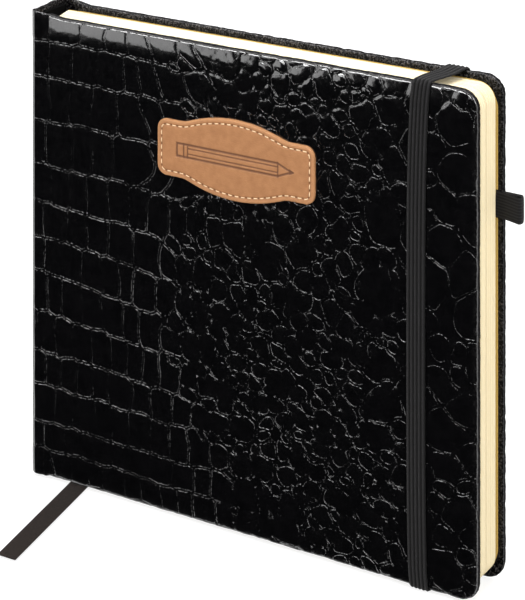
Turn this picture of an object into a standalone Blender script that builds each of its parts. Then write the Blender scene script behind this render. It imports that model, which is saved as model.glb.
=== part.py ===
"""A square hardback sketchbook standing upright on the lower edges of its covers.

Frame: metres. The origin is the centre of the spine's flat outer face. +X runs from the spine to
the fore-edge, -Y is the front cover and +Z is up.
"""

import math

import bpy
import bmesh
from mathutils import Vector

# Driving dimensions of the closed book.
HEIGHT = 0.206
WIDTH = 0.221
THICKNESS = 0.0275
CORNER_R = 0.008

# Layers of one padded cover, from the outside in, and the glue gap between layers.
SKIN = 0.0006
FOAM = 0.0008
BOARD = 0.0020
LIP = 0.0004
PASTEDOWN = 0.0002
LAYER_GAP = 0.0001
EDGE_ROUND = 0.0012
LIP_ROUND = 0.0003
TURN_IN = 0.012
LEAST_R = 0.0002

# The case: a cover starts this far from the spine's outer face, and the joints turn here.
COVER_START = 0.0095
HINGE_INSET = 0.003
SPINE_HALF = THICKNESS / 2 - HINGE_INSET
SPINE_BOARD = 0.0015
SPINE_CORNER_R = 0.0004
COVER_SPINE_R = 0.0012
JOINT_GAP = 0.0002
JOINT_SINK = 0.0004
JOINT_BEND = 0.0030
JOINT_STEPS = 6
JOINT_START = math.radians(4)

# The page block.
HEAD_SQUARE = 0.0025
FORE_SQUARE = 0.0020
BLOCK_GAP = 0.00025
SECTIONS_PER_HALF = 5
SECTION_GAP = 0.0001
PAGE_CORNER_R = 0.0075
FOLD_R = 0.0003
PAPER_CORNER_R = 0.0005
SPINE_SKEW = 0.2
BLOCK_START = 0.0065
OPENING_X = 0.005
LEAVES = 3
LEAF = 0.0002
LEAF_PITCH = 0.0003
LINING = 0.0005
LINING_SHORT = 0.004
LINING_GAP_MIDDLE = 0.0008
LINING_GAP_OUTER = 0.0004
PASTEDOWN_MARGIN = 0.0007
PASTEDOWN_START = 0.001
REAR_PASTEDOWN_MARGIN = 0.009

# The elastic strap and its slots in the back cover.
STRAP_WIDTH = 0.0086
STRAP_THICK = 0.0008
STRAP_CLEAR = 0.00015
STRAP_FRONT_X = 0.1937
STRAP_HEAD_X = 0.1972
STRAP_TAIL_X = 0.1946
STRAP_BACK_X = 0.1995
SLOT_FROM_EDGE = 0.0100
SLOT_HEIGHT = 0.0014
SLOT_SPARE = 0.0012
SLOT_LENGTH = 0.012
SLOT_MIDDLE = 0.002
STRAP_END_GAP = 0.0003
STRAP_TURN = 0.0007
STRAP_STRAIGHT = 0.002
# How far from the book's end the strap is, and how much of its sideways bow is left there.
STRAP_BOW = ((0.004, 0.9), (0.010, 0.5), (0.050, 0.2))

# The pen loop at the fore-edge.
LOOP_HEIGHT = 0.0115
LOOP_THICK = 0.0010
LOOP_CENTRE_Z = 0.0513
LOOP_REACH = 0.0044
LOOP_DEPTH = 0.0040
LOOP_TAB = 0.0003
LOOP_STEPS = 28
LOOP_ROOT_GAP = 0.0005
LOOP_ROOT_Y = 0.00005
TAB_START = 0.0085
TAB_GAP = 0.0003

# The ribbon bookmark.
RIBBON_WIDTH = 0.0090
RIBBON_THICK = 0.0002
RIBBON_HEAD_X = 0.0120
RIBBON_EXIT_X = 0.0245
RIBBON_TAIL = 0.0665
RIBBON_DRIFT = 0.0120
RIBBON_FLOOR = 0.00035
RIBBON_HEAD_GAP = 0.001
RIBBON_DROP = 0.0005
RIBBON_CLEAR = 0.0004

# The label on the front cover: a plaque with an arch at the top and at the bottom.
LABEL_X = 0.1078
LABEL_DROP = 0.0468
LABEL_HALF_WIDTH = 0.0391
LABEL_HALF_SIDE = 0.0122
LABEL_ARCH_HALF = 0.0250
LABEL_ARCH_RISE = 0.0050
LABEL_CORNER = 0.0045
LABEL_THICK = 0.0011
LABEL_GAP = 0.0001
LABEL_BEVEL = 0.0003
LABEL_LEAST_R = 0.0004
LABEL_STEP = 0.00002
STITCH_INSET = 0.0022
STITCH_WIDTH = 0.0009
STITCH_THICK = 0.0004

COVER_DEPTH = SKIN + FOAM + BOARD + LIP + PASTEDOWN + 4 * LAYER_GAP
BLOCK_HALF = THICKNESS / 2 - COVER_DEPTH - BLOCK_GAP
MIDDLE_HALF = (LEAVES + 1) * LEAF_PITCH / 2 + SECTION_GAP


def clear_scene():
    for obj in list(bpy.data.objects):
        bpy.data.objects.remove(obj, do_unlink=True)


def material(name, colour, roughness):
    made = bpy.data.materials.new(name)
    made.use_nodes = True
    shader = made.node_tree.nodes["Principled BSDF"]
    shader.inputs["Base Color"].default_value = (*colour, 1.0)
    shader.inputs["Roughness"].default_value = roughness
    shader.inputs["Metallic"].default_value = 0.0
    return made


def hinge_empty(name, place, parent=None):
    empty = bpy.data.objects.new(name, None)
    bpy.context.scene.collection.objects.link(empty)
    empty.location = Vector(place) - (parent.matrix_world.translation if parent else Vector())
    empty.parent = parent
    bpy.context.view_layer.update()
    return empty


def attach(obj, parent):
    if parent:
        obj.parent = parent
        obj.matrix_parent_inverse = parent.matrix_world.inverted()


def loft(name, rings, look, parent=None, endless=False):
    """One closed body through rings of equally many points. An endless loft has no end caps."""
    mesh = bpy.data.meshes.new(name)
    bm = bmesh.new()
    rows = [[bm.verts.new(point) for point in ring] for ring in rings]
    count = len(rows[0])
    joins = list(zip(rows, rows[1:]))
    if endless:
        joins.append((rows[-1], rows[0]))
    else:
        bm.faces.new(rows[0])
        bm.faces.new(rows[-1])
    for low, high in joins:
        for i in range(count):
            j = (i + 1) % count
            bm.faces.new((low[i], low[j], high[j], high[i]))
    bmesh.ops.recalc_face_normals(bm, faces=bm.faces)
    if bm.calc_volume(signed=True) < 0:
        bmesh.ops.reverse_faces(bm, faces=bm.faces)
    bm.to_mesh(mesh)
    bm.free()
    obj = bpy.data.objects.new(name, mesh)
    bpy.context.scene.collection.objects.link(obj)
    obj.data.materials.append(look)
    mesh.shade_smooth()
    mesh.set_sharp_from_angle(angle=math.radians(35))
    attach(obj, parent)
    return obj


def outline(x0, x1, z0, z1, spine_r, fore_r, inset=0.0, steps=7):
    """A rounded rectangle as (x, z) points, shrunk by inset. The point count never changes."""
    corners = (
        (x1 - inset, z0 + inset, fore_r, -90),
        (x1 - inset, z1 - inset, fore_r, 0),
        (x0 + inset, z1 - inset, spine_r, 90),
        (x0 + inset, z0 + inset, spine_r, 180),
    )
    points = []
    for x, z, radius, start in corners:
        r = max(radius - inset, LEAST_R)
        cx = x - r if start in (-90, 0) else x + r
        cz = z + r if start in (-90, 180) else z - r
        for i in range(steps + 1):
            angle = math.radians(start + 90 * i / steps)
            points.append((cx + r * math.cos(angle), cz + r * math.sin(angle)))
    return points


def at_depth(points, y):
    return [(x, y, z) for x, z in points]


def slab(name, points, y0, y1, look, parent=None):
    return loft(name, [at_depth(points, y0), at_depth(points, y1)], look, parent)


def cover_outline(inset=0.0):
    half = HEIGHT / 2
    return outline(COVER_START, WIDTH, -half, half, COVER_SPINE_R, CORNER_R, inset)


def cut_slots(target):
    """Cuts the strap's two slots, near the head and the tail, through one layer of the back cover."""
    for end, side in (("head", 1), ("tail", -1)):
        name = f"{target.name}_{end}_slot"
        mesh = bpy.data.meshes.new(name)
        bm = bmesh.new()
        bmesh.ops.create_cube(bm, size=1.0)
        size = Vector((STRAP_WIDTH + SLOT_SPARE, SLOT_LENGTH, SLOT_HEIGHT))
        bmesh.ops.scale(bm, vec=size, verts=bm.verts)
        bm.to_mesh(mesh)
        bm.free()
        cutter = bpy.data.objects.new(name, mesh)
        bpy.context.scene.collection.objects.link(cutter)
        cutter.location = (STRAP_BACK_X, THICKNESS / 2 - SLOT_MIDDLE, side * (HEIGHT / 2 - SLOT_FROM_EDGE))
        cutter.hide_render = True
        cutter.display_type = "WIRE"
        cut = target.modifiers.new(name, "BOOLEAN")
        cut.operation = "DIFFERENCE"
        cut.object = cutter


def cover_skin(name, side, look, parent):
    """Imitation leather over the pad, round the edges and turned in: a tray with a lip, open inside."""
    outer = THICKNESS / 2
    lip_out = outer - COVER_DEPTH + PASTEDOWN + LAYER_GAP
    lip_in = lip_out + LIP
    rings = []
    for i in range(4):
        angle = math.radians(90 * i / 3)
        inset = EDGE_ROUND * (1 - math.sin(angle))
        rings.append((inset, outer - EDGE_ROUND * (1 - math.cos(angle))))
    rings += [
        (0.0, lip_out + LIP_ROUND),
        (LIP_ROUND, lip_out),
        (TURN_IN, lip_out),
        (TURN_IN, lip_in),
        (SKIN, lip_in),
        (SKIN, outer - SKIN),
    ]
    return loft(name, [at_depth(cover_outline(inset), side * y) for inset, y in rings], look, parent)


def cover(end, side, looks, parent):
    """Skin, foam pad, board and pastedown of one cover. side is -1 for the front and 1 for the back."""
    y = THICKNESS / 2 - SKIN - LAYER_GAP
    inside = SKIN + LAYER_GAP
    skin = cover_skin(f"{end}_cover_skin", side, looks["leather"], parent)
    foam = slab(f"{end}_foam_pad", cover_outline(inside), side * y, side * (y - FOAM), looks["foam"], parent)
    y -= FOAM + LAYER_GAP
    board = slab(f"{end}_board", cover_outline(inside), side * y, side * (y - BOARD), looks["board"], parent)
    y = THICKNESS / 2 - COVER_DEPTH
    half = HEIGHT / 2 - HEAD_SQUARE - PASTEDOWN_MARGIN
    fore = WIDTH - (REAR_PASTEDOWN_MARGIN if side > 0 else FORE_SQUARE + PASTEDOWN_MARGIN)
    start = COVER_START + PASTEDOWN_START
    sheet = outline(start, fore, -half, half, PAPER_CORNER_R, PAGE_CORNER_R)
    slab(f"{end}_pastedown", sheet, side * y, side * (y + PASTEDOWN), looks[f"{end}_endpaper"], parent)
    return skin, foam, board


def joint_leather(end, side, look, parent):
    """The flexible strip between the spine and a cover: round the corner, then a shallow groove."""
    top = THICKNESS / 2 - JOINT_SINK
    flat = (HINGE_INSET + JOINT_BEND, COVER_START - JOINT_GAP)

    def side_line(r, y):
        turn = []
        for i in range(JOINT_STEPS + 1):
            angle = JOINT_START + (math.pi / 2 - JOINT_START) * i / JOINT_STEPS
            turn.append((HINGE_INSET - r * math.cos(angle), SPINE_HALF + r * math.sin(angle)))
        return turn + [(x, y) for x in flat]

    outer = side_line(HINGE_INSET, top)
    inner = side_line(HINGE_INSET - SKIN, top - SKIN)
    section = outer + inner[::-1]
    half = HEIGHT / 2
    rings = [[(x, side * y, z) for x, y in section] for z in (-half, half)]
    return loft(f"{end}_joint_leather", rings, look, parent)


def spine_case(looks, parent):
    """The spine strip: a thin board in a leather tray that is open towards the pages."""
    half = HEIGHT / 2
    wide = SPINE_HALF - JOINT_GAP

    def ring(inset, x):
        flat = outline(-wide, wide, -half, half, SPINE_CORNER_R, SPINE_CORNER_R, inset, steps=2)
        return [(x, y, z) for y, z in flat]

    depth = SKIN + LAYER_GAP + SPINE_BOARD
    tray = [
        ring(0.0, 0.0),
        ring(0.0, depth),
        ring(SKIN, depth),
        ring(SKIN, SKIN),
    ]
    loft("spine_leather", tray, looks["leather"], parent)
    strip = [ring(SKIN + LAYER_GAP, SKIN + LAYER_GAP), ring(SKIN + LAYER_GAP, depth)]
    loft("spine_board", strip, looks["board"], parent)


def block_start(y):
    """Where the fold of a page at depth y starts: the back of the block leans towards the back cover."""
    return BLOCK_START - SPINE_SKEW * y


def page_outline(y):
    half = HEIGHT / 2 - HEAD_SQUARE
    return outline(block_start(y), WIDTH - FORE_SQUARE, -half, half, FOLD_R, PAGE_CORNER_R)


def page_block(looks, pages_hinge):
    """Sewn sections, flyleaves and spine linings. The front half turns, and the back half stays."""
    run = (BLOCK_HALF - MIDDLE_HALF - LEAF - SECTION_GAP) / SECTIONS_PER_HALF
    for side, parent in ((-1, pages_hinge), (1, None)):
        end = "front" if side < 0 else "back"
        for i in range(SECTIONS_PER_HALF):
            near = MIDDLE_HALF + i * run
            far = near + run - SECTION_GAP
            number = SECTIONS_PER_HALF - i if side < 0 else SECTIONS_PER_HALF + 1 + i
            middle = side * (near + far) / 2
            name = f"section_{number:02d}"
            slab(name, page_outline(middle), side * near, side * far, looks["paper"], parent)
        y = BLOCK_HALF - LEAF
        look = looks[f"{end}_endpaper"]
        slab(f"{end}_flyleaf", page_outline(side * y), side * y, side * (y + LEAF), look, parent)
        half = HEIGHT / 2 - HEAD_SQUARE - LINING_SHORT
        near, far = side * MIDDLE_HALF, side * (BLOCK_HALF - LEAF)
        x_near = block_start(near) - LINING_GAP_MIDDLE
        x_far = block_start(far) - LINING_GAP_OUTER
        foot = [(x_near - LINING, near), (x_near, near), (x_far, far), (x_far - LINING, far)]
        rings = [[(x, y, z) for x, y in foot] for z in (-half, half)]
        loft(f"{end}_spine_lining", rings, looks["lining"], parent)


def loose_leaves(looks, hinges):
    """The leaves at the opening in the middle of the block."""
    for i, hinge in enumerate(hinges):
        y = (i - (LEAVES - 1) / 2 - 0.5) * LEAF_PITCH
        leaf = page_outline(0.0)
        slab(f"centre_leaf_{i + 1}", leaf, y - LEAF / 2, y + LEAF / 2, looks["paper"], hinge)


def band(name, path, across, thickness, look, parent=None, endless=False):
    """A flat band along path, a list of (point, outward normal). across is the width vector."""
    rings = []
    half = Vector(across) / 2
    for point, normal in path:
        point = Vector(point)
        deep = Vector(normal).normalized() * thickness
        rings.append([point - half, point + half, point + half + deep, point - half + deep])
    return loft(name, rings, look, parent, endless)


def strap(looks, strap_slide):
    """The elastic that holds the book shut, and its two tails that pass into the back cover."""
    front = -THICKNESS / 2 - STRAP_CLEAR
    back = THICKNESS / 2 + STRAP_CLEAR
    top = HEIGHT / 2 + STRAP_CLEAR
    path = []
    for side, edge_x in ((1, STRAP_HEAD_X), (-1, STRAP_TAIL_X)):
        points = [
            (STRAP_BACK_X, back - STRAP_END_GAP, top, (0, 0, side)),
            (STRAP_BACK_X, back - STRAP_STRAIGHT, top, (0, 0, side)),
            (edge_x, front + STRAP_STRAIGHT, top, (0, 0, side)),
            (edge_x, front + STRAP_TURN, top, (0, -0.4, side)),
            (edge_x, front, top - STRAP_TURN, (0, -1, 0.4 * side)),
        ]
        for away, bow in STRAP_BOW:
            x = STRAP_FRONT_X + bow * (edge_x - STRAP_FRONT_X)
            points.append((x, front, top - away, (0, -1, 0)))
        for x, y, z, normal in points[::side]:
            path.append(((x, y, side * z), normal))
        if side > 0:
            path.append(((STRAP_FRONT_X, front, 0.0), (0, -1, 0)))
    band("elastic_strap", path, (STRAP_WIDTH, 0, 0), STRAP_THICK, looks["elastic"], strap_slide)

    slot = HEIGHT / 2 - SLOT_FROM_EDGE
    inner = THICKNESS / 2 - SKIN - FOAM - BOARD - LAYER_GAP
    for end, side in (("head", 1), ("tail", -1)):
        low, high = slot - STRAP_THICK / 2, slot + STRAP_THICK / 2
        edge = top + STRAP_THICK
        turn = back + STRAP_THICK
        foot = [(inner, low), (turn, low), (turn, edge), (back, edge), (back, high), (inner, high)]
        rings = []
        for x in (-STRAP_WIDTH / 2, STRAP_WIDTH / 2):
            rings.append([(STRAP_BACK_X + x, y, side * z) for y, z in foot])
        loft(f"strap_{end}_end", rings, looks["elastic"])


def pen_loop(looks, loop_hinge, root_x, root_y):
    """A ribbed elastic loop at the fore-edge and the tab that holds it under the rear endpaper."""
    path = []
    for i in range(LOOP_STEPS):
        angle = math.pi + 2 * math.pi * i / LOOP_STEPS
        x = root_x + LOOP_ROOT_GAP + LOOP_THICK + LOOP_REACH * (1 + math.cos(angle))
        y = root_y + LOOP_DEPTH * math.sin(angle)
        path.append(((x, y, LOOP_CENTRE_Z), (math.cos(angle), math.sin(angle), 0)))
    across = (0, 0, LOOP_HEIGHT)
    band("pen_loop", path, across, LOOP_THICK, looks["elastic"], loop_hinge, endless=True)
    low, high = LOOP_CENTRE_Z - LOOP_HEIGHT / 2, LOOP_CENTRE_Z + LOOP_HEIGHT / 2
    start, end = WIDTH - TAB_START, root_x - TAB_GAP
    foot = outline(start, end, low, high, PAPER_CORNER_R, PAPER_CORNER_R, steps=2)
    slab("pen_loop_tab", foot, root_y - LOOP_TAB / 2, root_y + LOOP_TAB / 2, looks["elastic"])


def bookmark(looks, tail_hinge, exit_y):
    """The ribbon inside the pages, and its free tail that lies on the ground in front of the book."""
    half = HEIGHT / 2 - HEAD_SQUARE
    wide = RIBBON_WIDTH / 2
    foot = [
        (RIBBON_EXIT_X - wide, -half),
        (RIBBON_EXIT_X + wide, -half),
        (RIBBON_HEAD_X + wide, half - RIBBON_HEAD_GAP),
        (RIBBON_HEAD_X - wide, half - RIBBON_HEAD_GAP),
    ]
    thick = RIBBON_THICK / 2
    slab("ribbon_bookmark", foot, exit_y - thick, exit_y + thick, looks["ribbon"])
    ground = -HEIGHT / 2 - STRAP_CLEAR - STRAP_THICK + RIBBON_FLOOR
    inner = -THICKNESS / 2 + COVER_DEPTH
    front = -THICKNESS / 2
    end = front - RIBBON_TAIL
    stops = (
        (exit_y, -half - RIBBON_DROP, (0, 0.8, -0.6)),
        (exit_y - 5 * RIBBON_DROP, -half - 4 * RIBBON_DROP, (0, 0.3, -1)),
        (inner + 2 * RIBBON_DROP, -HEIGHT / 2 - RIBBON_CLEAR, (0, 0.2, -1)),
        (inner - 2 * RIBBON_DROP, ground, (0, 0, -1)),
        (front, ground, (0, 0, -1)),
        (end, ground, (0, 0, -1)),
    )
    path = []
    for y, z, normal in stops:
        x = RIBBON_EXIT_X + RIBBON_DRIFT * (y - exit_y) / (end - exit_y)
        path.append(((x, y, z), normal))
    band("ribbon_tail", path, (RIBBON_WIDTH, 0, 0), RIBBON_THICK, looks["ribbon"], tail_hinge)


def label_outline(inset=0.0, steps=5):
    """The plaque's outline as (x, z) offsets from its centre: four round corners and two arches."""
    w, h = LABEL_HALF_WIDTH - inset, LABEL_HALF_SIDE - inset
    r = max(LABEL_CORNER - inset, LABEL_LEAST_R)
    chord, rise = LABEL_ARCH_HALF, LABEL_ARCH_RISE
    quarter = []
    for i in range(steps + 1):
        angle = math.radians(90 * i / steps)
        quarter.append((w - r + r * math.cos(angle), h - r + r * math.sin(angle)))
    radius = (chord * chord + rise * rise) / (2 * rise)
    widest = math.asin(chord / radius)
    for i in range(steps + 1):
        angle = widest * (1 - i / steps)
        lift = radius * math.cos(angle) - (radius - rise)
        quarter.append((radius * math.sin(angle) * (1 - inset / chord), h + lift + LABEL_STEP))
    top = quarter + [(-x, z) for x, z in quarter[-2::-1]]
    return top + [(x, -z) for x, z in top[::-1]]


def label(looks, parent):
    centre_z = HEIGHT / 2 - LABEL_DROP

    def ring(inset, y):
        return [(LABEL_X + x, y, centre_z + z) for x, z in label_outline(inset)]

    face = -THICKNESS / 2 - LABEL_GAP
    top = face - LABEL_THICK
    plaque = [ring(0.0, face), ring(0.0, top + LABEL_BEVEL), ring(LABEL_BEVEL, top)]
    loft("label_plaque", plaque, looks["label"], parent)
    near = top - LABEL_GAP
    far = near - STITCH_THICK
    inner, outer = STITCH_INSET + STITCH_WIDTH, STITCH_INSET
    thread = [ring(outer, near), ring(outer, far), ring(inner, far), ring(inner, near)]
    count = len(thread[0])
    columns = [[row[i] for row in thread] for i in range(count)]
    loft("label_stitching", columns, looks["thread"], parent, endless=True)


def build():
    clear_scene()
    looks = {
        "leather": material("black_leather", (0.006, 0.006, 0.007), 0.25),
        "foam": material("grey_foam", (0.18, 0.18, 0.18), 0.9),
        "board": material("grey_board", (0.25, 0.23, 0.20), 0.8),
        "paper": material("cream_paper", (0.92, 0.86, 0.70), 0.8),
        "front_endpaper": material("cream_endpaper", (0.90, 0.84, 0.68), 0.7),
        "back_endpaper": material("ochre_endpaper", (0.70, 0.48, 0.16), 0.7),
        "lining": material("white_mull", (0.75, 0.73, 0.68), 0.9),
        "elastic": material("charcoal_elastic", (0.03, 0.03, 0.033), 0.8),
        "ribbon": material("dark_ribbon", (0.035, 0.026, 0.025), 0.55),
        "label": material("tan_leather", (0.55, 0.26, 0.11), 0.5),
        "thread": material("cream_thread", (0.80, 0.68, 0.50), 0.8),
    }
    spine_hinge = hinge_empty("spine_hinge", (HINGE_INSET, SPINE_HALF, 0))
    cover_hinge = hinge_empty("front_cover_hinge", (HINGE_INSET, -SPINE_HALF, 0), spine_hinge)
    pages_hinge = hinge_empty("pages_hinge", (OPENING_X, 0, 0))
    leaf_hinges = [hinge_empty(f"leaf_{i + 1}_hinge", (OPENING_X, 0, 0)) for i in range(LEAVES)]
    strap_slide = hinge_empty("strap_slide", (STRAP_FRONT_X, -THICKNESS / 2, 0))
    ribbon_y = (LEAVES / 2) * LEAF_PITCH
    tail_hinge = hinge_empty("ribbon_tail_hinge", (RIBBON_EXIT_X, ribbon_y, -HEIGHT / 2))
    loop_root = (WIDTH - LOOP_ROOT_GAP, BLOCK_HALF + BLOCK_GAP + LOOP_ROOT_Y)
    loop_hinge = hinge_empty("pen_loop_hinge", (*loop_root, LOOP_CENTRE_Z))

    cover("front", -1, looks, cover_hinge)
    for layer in cover("back", 1, looks, None):
        cut_slots(layer)
    joint_leather("front", -1, looks["leather"], cover_hinge)
    joint_leather("back", 1, looks["leather"], None)
    spine_case(looks, spine_hinge)
    page_block(looks, pages_hinge)
    loose_leaves(looks, leaf_hinges)
    strap(looks, strap_slide)
    pen_loop(looks, loop_hinge, *loop_root)
    bookmark(looks, tail_hinge, ribbon_y)
    label(looks, cover_hinge)


build()
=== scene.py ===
"""The looks of a square sketchbook in glossy black crocodile-embossed imitation leather.

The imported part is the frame: every place comes from its nodes' boxes. Lengths are in metres. The leather of
the case is one sheet, laid out flat along two directions: S runs from the front cover's fore-edge over the
spine to the back cover's fore-edge, and T runs from tail to head. The emboss is drawn on that flat sheet.
"""

import math

import bmesh
import bpy
import numpy as np
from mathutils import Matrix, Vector


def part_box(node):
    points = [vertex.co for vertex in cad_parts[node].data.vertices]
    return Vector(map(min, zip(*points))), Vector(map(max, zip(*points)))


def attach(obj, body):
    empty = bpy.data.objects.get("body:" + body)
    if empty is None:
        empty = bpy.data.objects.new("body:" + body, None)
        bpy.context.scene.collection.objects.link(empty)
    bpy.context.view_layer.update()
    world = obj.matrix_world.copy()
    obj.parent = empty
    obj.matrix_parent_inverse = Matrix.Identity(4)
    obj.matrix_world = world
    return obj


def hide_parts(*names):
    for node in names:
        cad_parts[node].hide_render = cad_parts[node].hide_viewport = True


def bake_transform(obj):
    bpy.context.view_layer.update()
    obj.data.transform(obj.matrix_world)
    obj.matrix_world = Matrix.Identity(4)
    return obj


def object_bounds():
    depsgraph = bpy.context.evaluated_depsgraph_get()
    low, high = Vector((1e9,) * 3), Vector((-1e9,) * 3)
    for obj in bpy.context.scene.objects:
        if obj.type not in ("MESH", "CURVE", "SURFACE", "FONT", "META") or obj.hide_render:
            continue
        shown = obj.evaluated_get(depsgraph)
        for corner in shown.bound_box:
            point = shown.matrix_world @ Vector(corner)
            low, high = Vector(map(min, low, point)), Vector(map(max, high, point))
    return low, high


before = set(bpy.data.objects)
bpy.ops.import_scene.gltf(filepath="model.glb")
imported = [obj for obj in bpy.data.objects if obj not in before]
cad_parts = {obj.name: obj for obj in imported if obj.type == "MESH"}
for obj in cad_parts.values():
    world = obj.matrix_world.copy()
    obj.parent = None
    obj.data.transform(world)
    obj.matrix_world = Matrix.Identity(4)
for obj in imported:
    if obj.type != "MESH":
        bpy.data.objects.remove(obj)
CAD_LOW, CAD_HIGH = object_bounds()

MM = 0.001

# The frame's own sizes.
COVER_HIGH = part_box("back_cover_skin")[1]
HALF_T = COVER_HIGH.y
HALF_H = COVER_HIGH.z
WIDTH = COVER_HIGH.x
COVER_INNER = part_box("back_pastedown")[0].y
LABEL_LOW, LABEL_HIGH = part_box("label_plaque")
STRAP_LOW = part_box("elastic_strap")[0]
STRAP_END_LOW, STRAP_END_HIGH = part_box("strap_head_end")
LOOP_LOW, LOOP_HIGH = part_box("pen_loop")
RIBBON_LOW, RIBBON_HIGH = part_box("ribbon_tail")

# The padded covers: a crown that falls towards the edges, then a rounded edge and a turned-in lip.
CORNER_R = 8.0 * MM
CROWN = 1.2 * MM
CROWN_REACH = 10.0 * MM
EDGE_R = 1.2 * MM
INNER_R = 0.5 * MM
LIP_BACK = 0.1 * MM
BACK_GROWTH = 1.2 * MM
HEAD_GROWTH = 0.6 * MM
LIP = 12.0 * MM
COVER_EDGE_X = 9.3 * MM
HINGE_X = 3.0 * MM
JOINT_THICK = 1.4 * MM
JOINT_EDGE_R = 0.5 * MM
JOINT_INNER_R = 0.4 * MM
SPINE_THICK = 2.3 * MM
SPINE_EDGE_R = 0.7 * MM
HEAD_SWELL = 2.2 * MM
SPINE_SWELL = 0.8 * MM
GROOVE_DEPTH = 0.35 * MM
GROOVE_X = 5.9 * MM
GROOVE_WIDTH = 1.7 * MM

# Mesh steps across the leather.
FRONT_STEP = 0.43 * MM
BACK_STEP = 0.62 * MM
JOINT_STEP = 0.45 * MM


# ---------------------------------------------------------------------------------------------- meshes

def mesh_object(name, points, faces, look=None):
    """A smooth-shaded mesh object from arrays of points and of faces with equally many corners."""
    points = np.asarray(points, np.float32).reshape(-1, 3)
    faces = np.asarray(faces, np.int32)
    count, corners = faces.shape
    mesh = bpy.data.meshes.new(name)
    mesh.vertices.add(len(points))
    mesh.vertices.foreach_set("co", points.ravel())
    mesh.loops.add(count * corners)
    mesh.loops.foreach_set("vertex_index", faces.ravel())
    mesh.polygons.add(count)
    mesh.polygons.foreach_set("loop_start", np.arange(0, count * corners, corners, dtype=np.int32))
    mesh.update(calc_edges=True)
    mesh.validate()
    mesh.shade_smooth()
    obj = bpy.data.objects.new(name, mesh)
    bpy.context.scene.collection.objects.link(obj)
    if look:
        mesh.materials.append(look)
    return obj


def grid_faces(rows, columns, flip=False, closed_rows=False, closed_columns=False):
    index = np.arange(rows * columns).reshape(rows, columns)
    if closed_rows:
        index = np.vstack([index, index[:1]])
    if closed_columns:
        index = np.hstack([index, index[:, :1]])
    quads = np.stack([index[:-1, :-1], index[1:, :-1], index[1:, 1:], index[:-1, 1:]], axis=-1).reshape(-1, 4)
    return quads[:, ::-1] if flip else quads


def add_float(obj, name, values):
    attribute = obj.data.attributes.new(name, "FLOAT", "POINT")
    attribute.data.foreach_set("value", np.asarray(values, np.float32).ravel())


def add_uv(obj, u, v):
    """A UV map from one pair of values per vertex, for weaves that follow a band."""
    layer = obj.data.uv_layers.new(name="weave")
    index = np.empty(len(obj.data.loops), np.int32)
    obj.data.loops.foreach_get("vertex_index", index)
    uv = np.stack([np.asarray(u).ravel()[index], np.asarray(v).ravel()[index]], axis=-1)
    layer.data.foreach_set("uv", uv.astype(np.float32).ravel())


def settle(obj, slot, body, *nodes):
    """Attaches a piece to the body that it rides and hides the CAD nodes that it stands for. The slot is not
    used.
    """
    if body:
        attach(obj, body)
    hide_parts(*nodes)


def smoothstep(low, high, value):
    t = np.clip((value - low) / (high - low), 0.0, 1.0)
    return t * t * (3 - 2 * t)


# ------------------------------------------------------------------------------------------- materials

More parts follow.
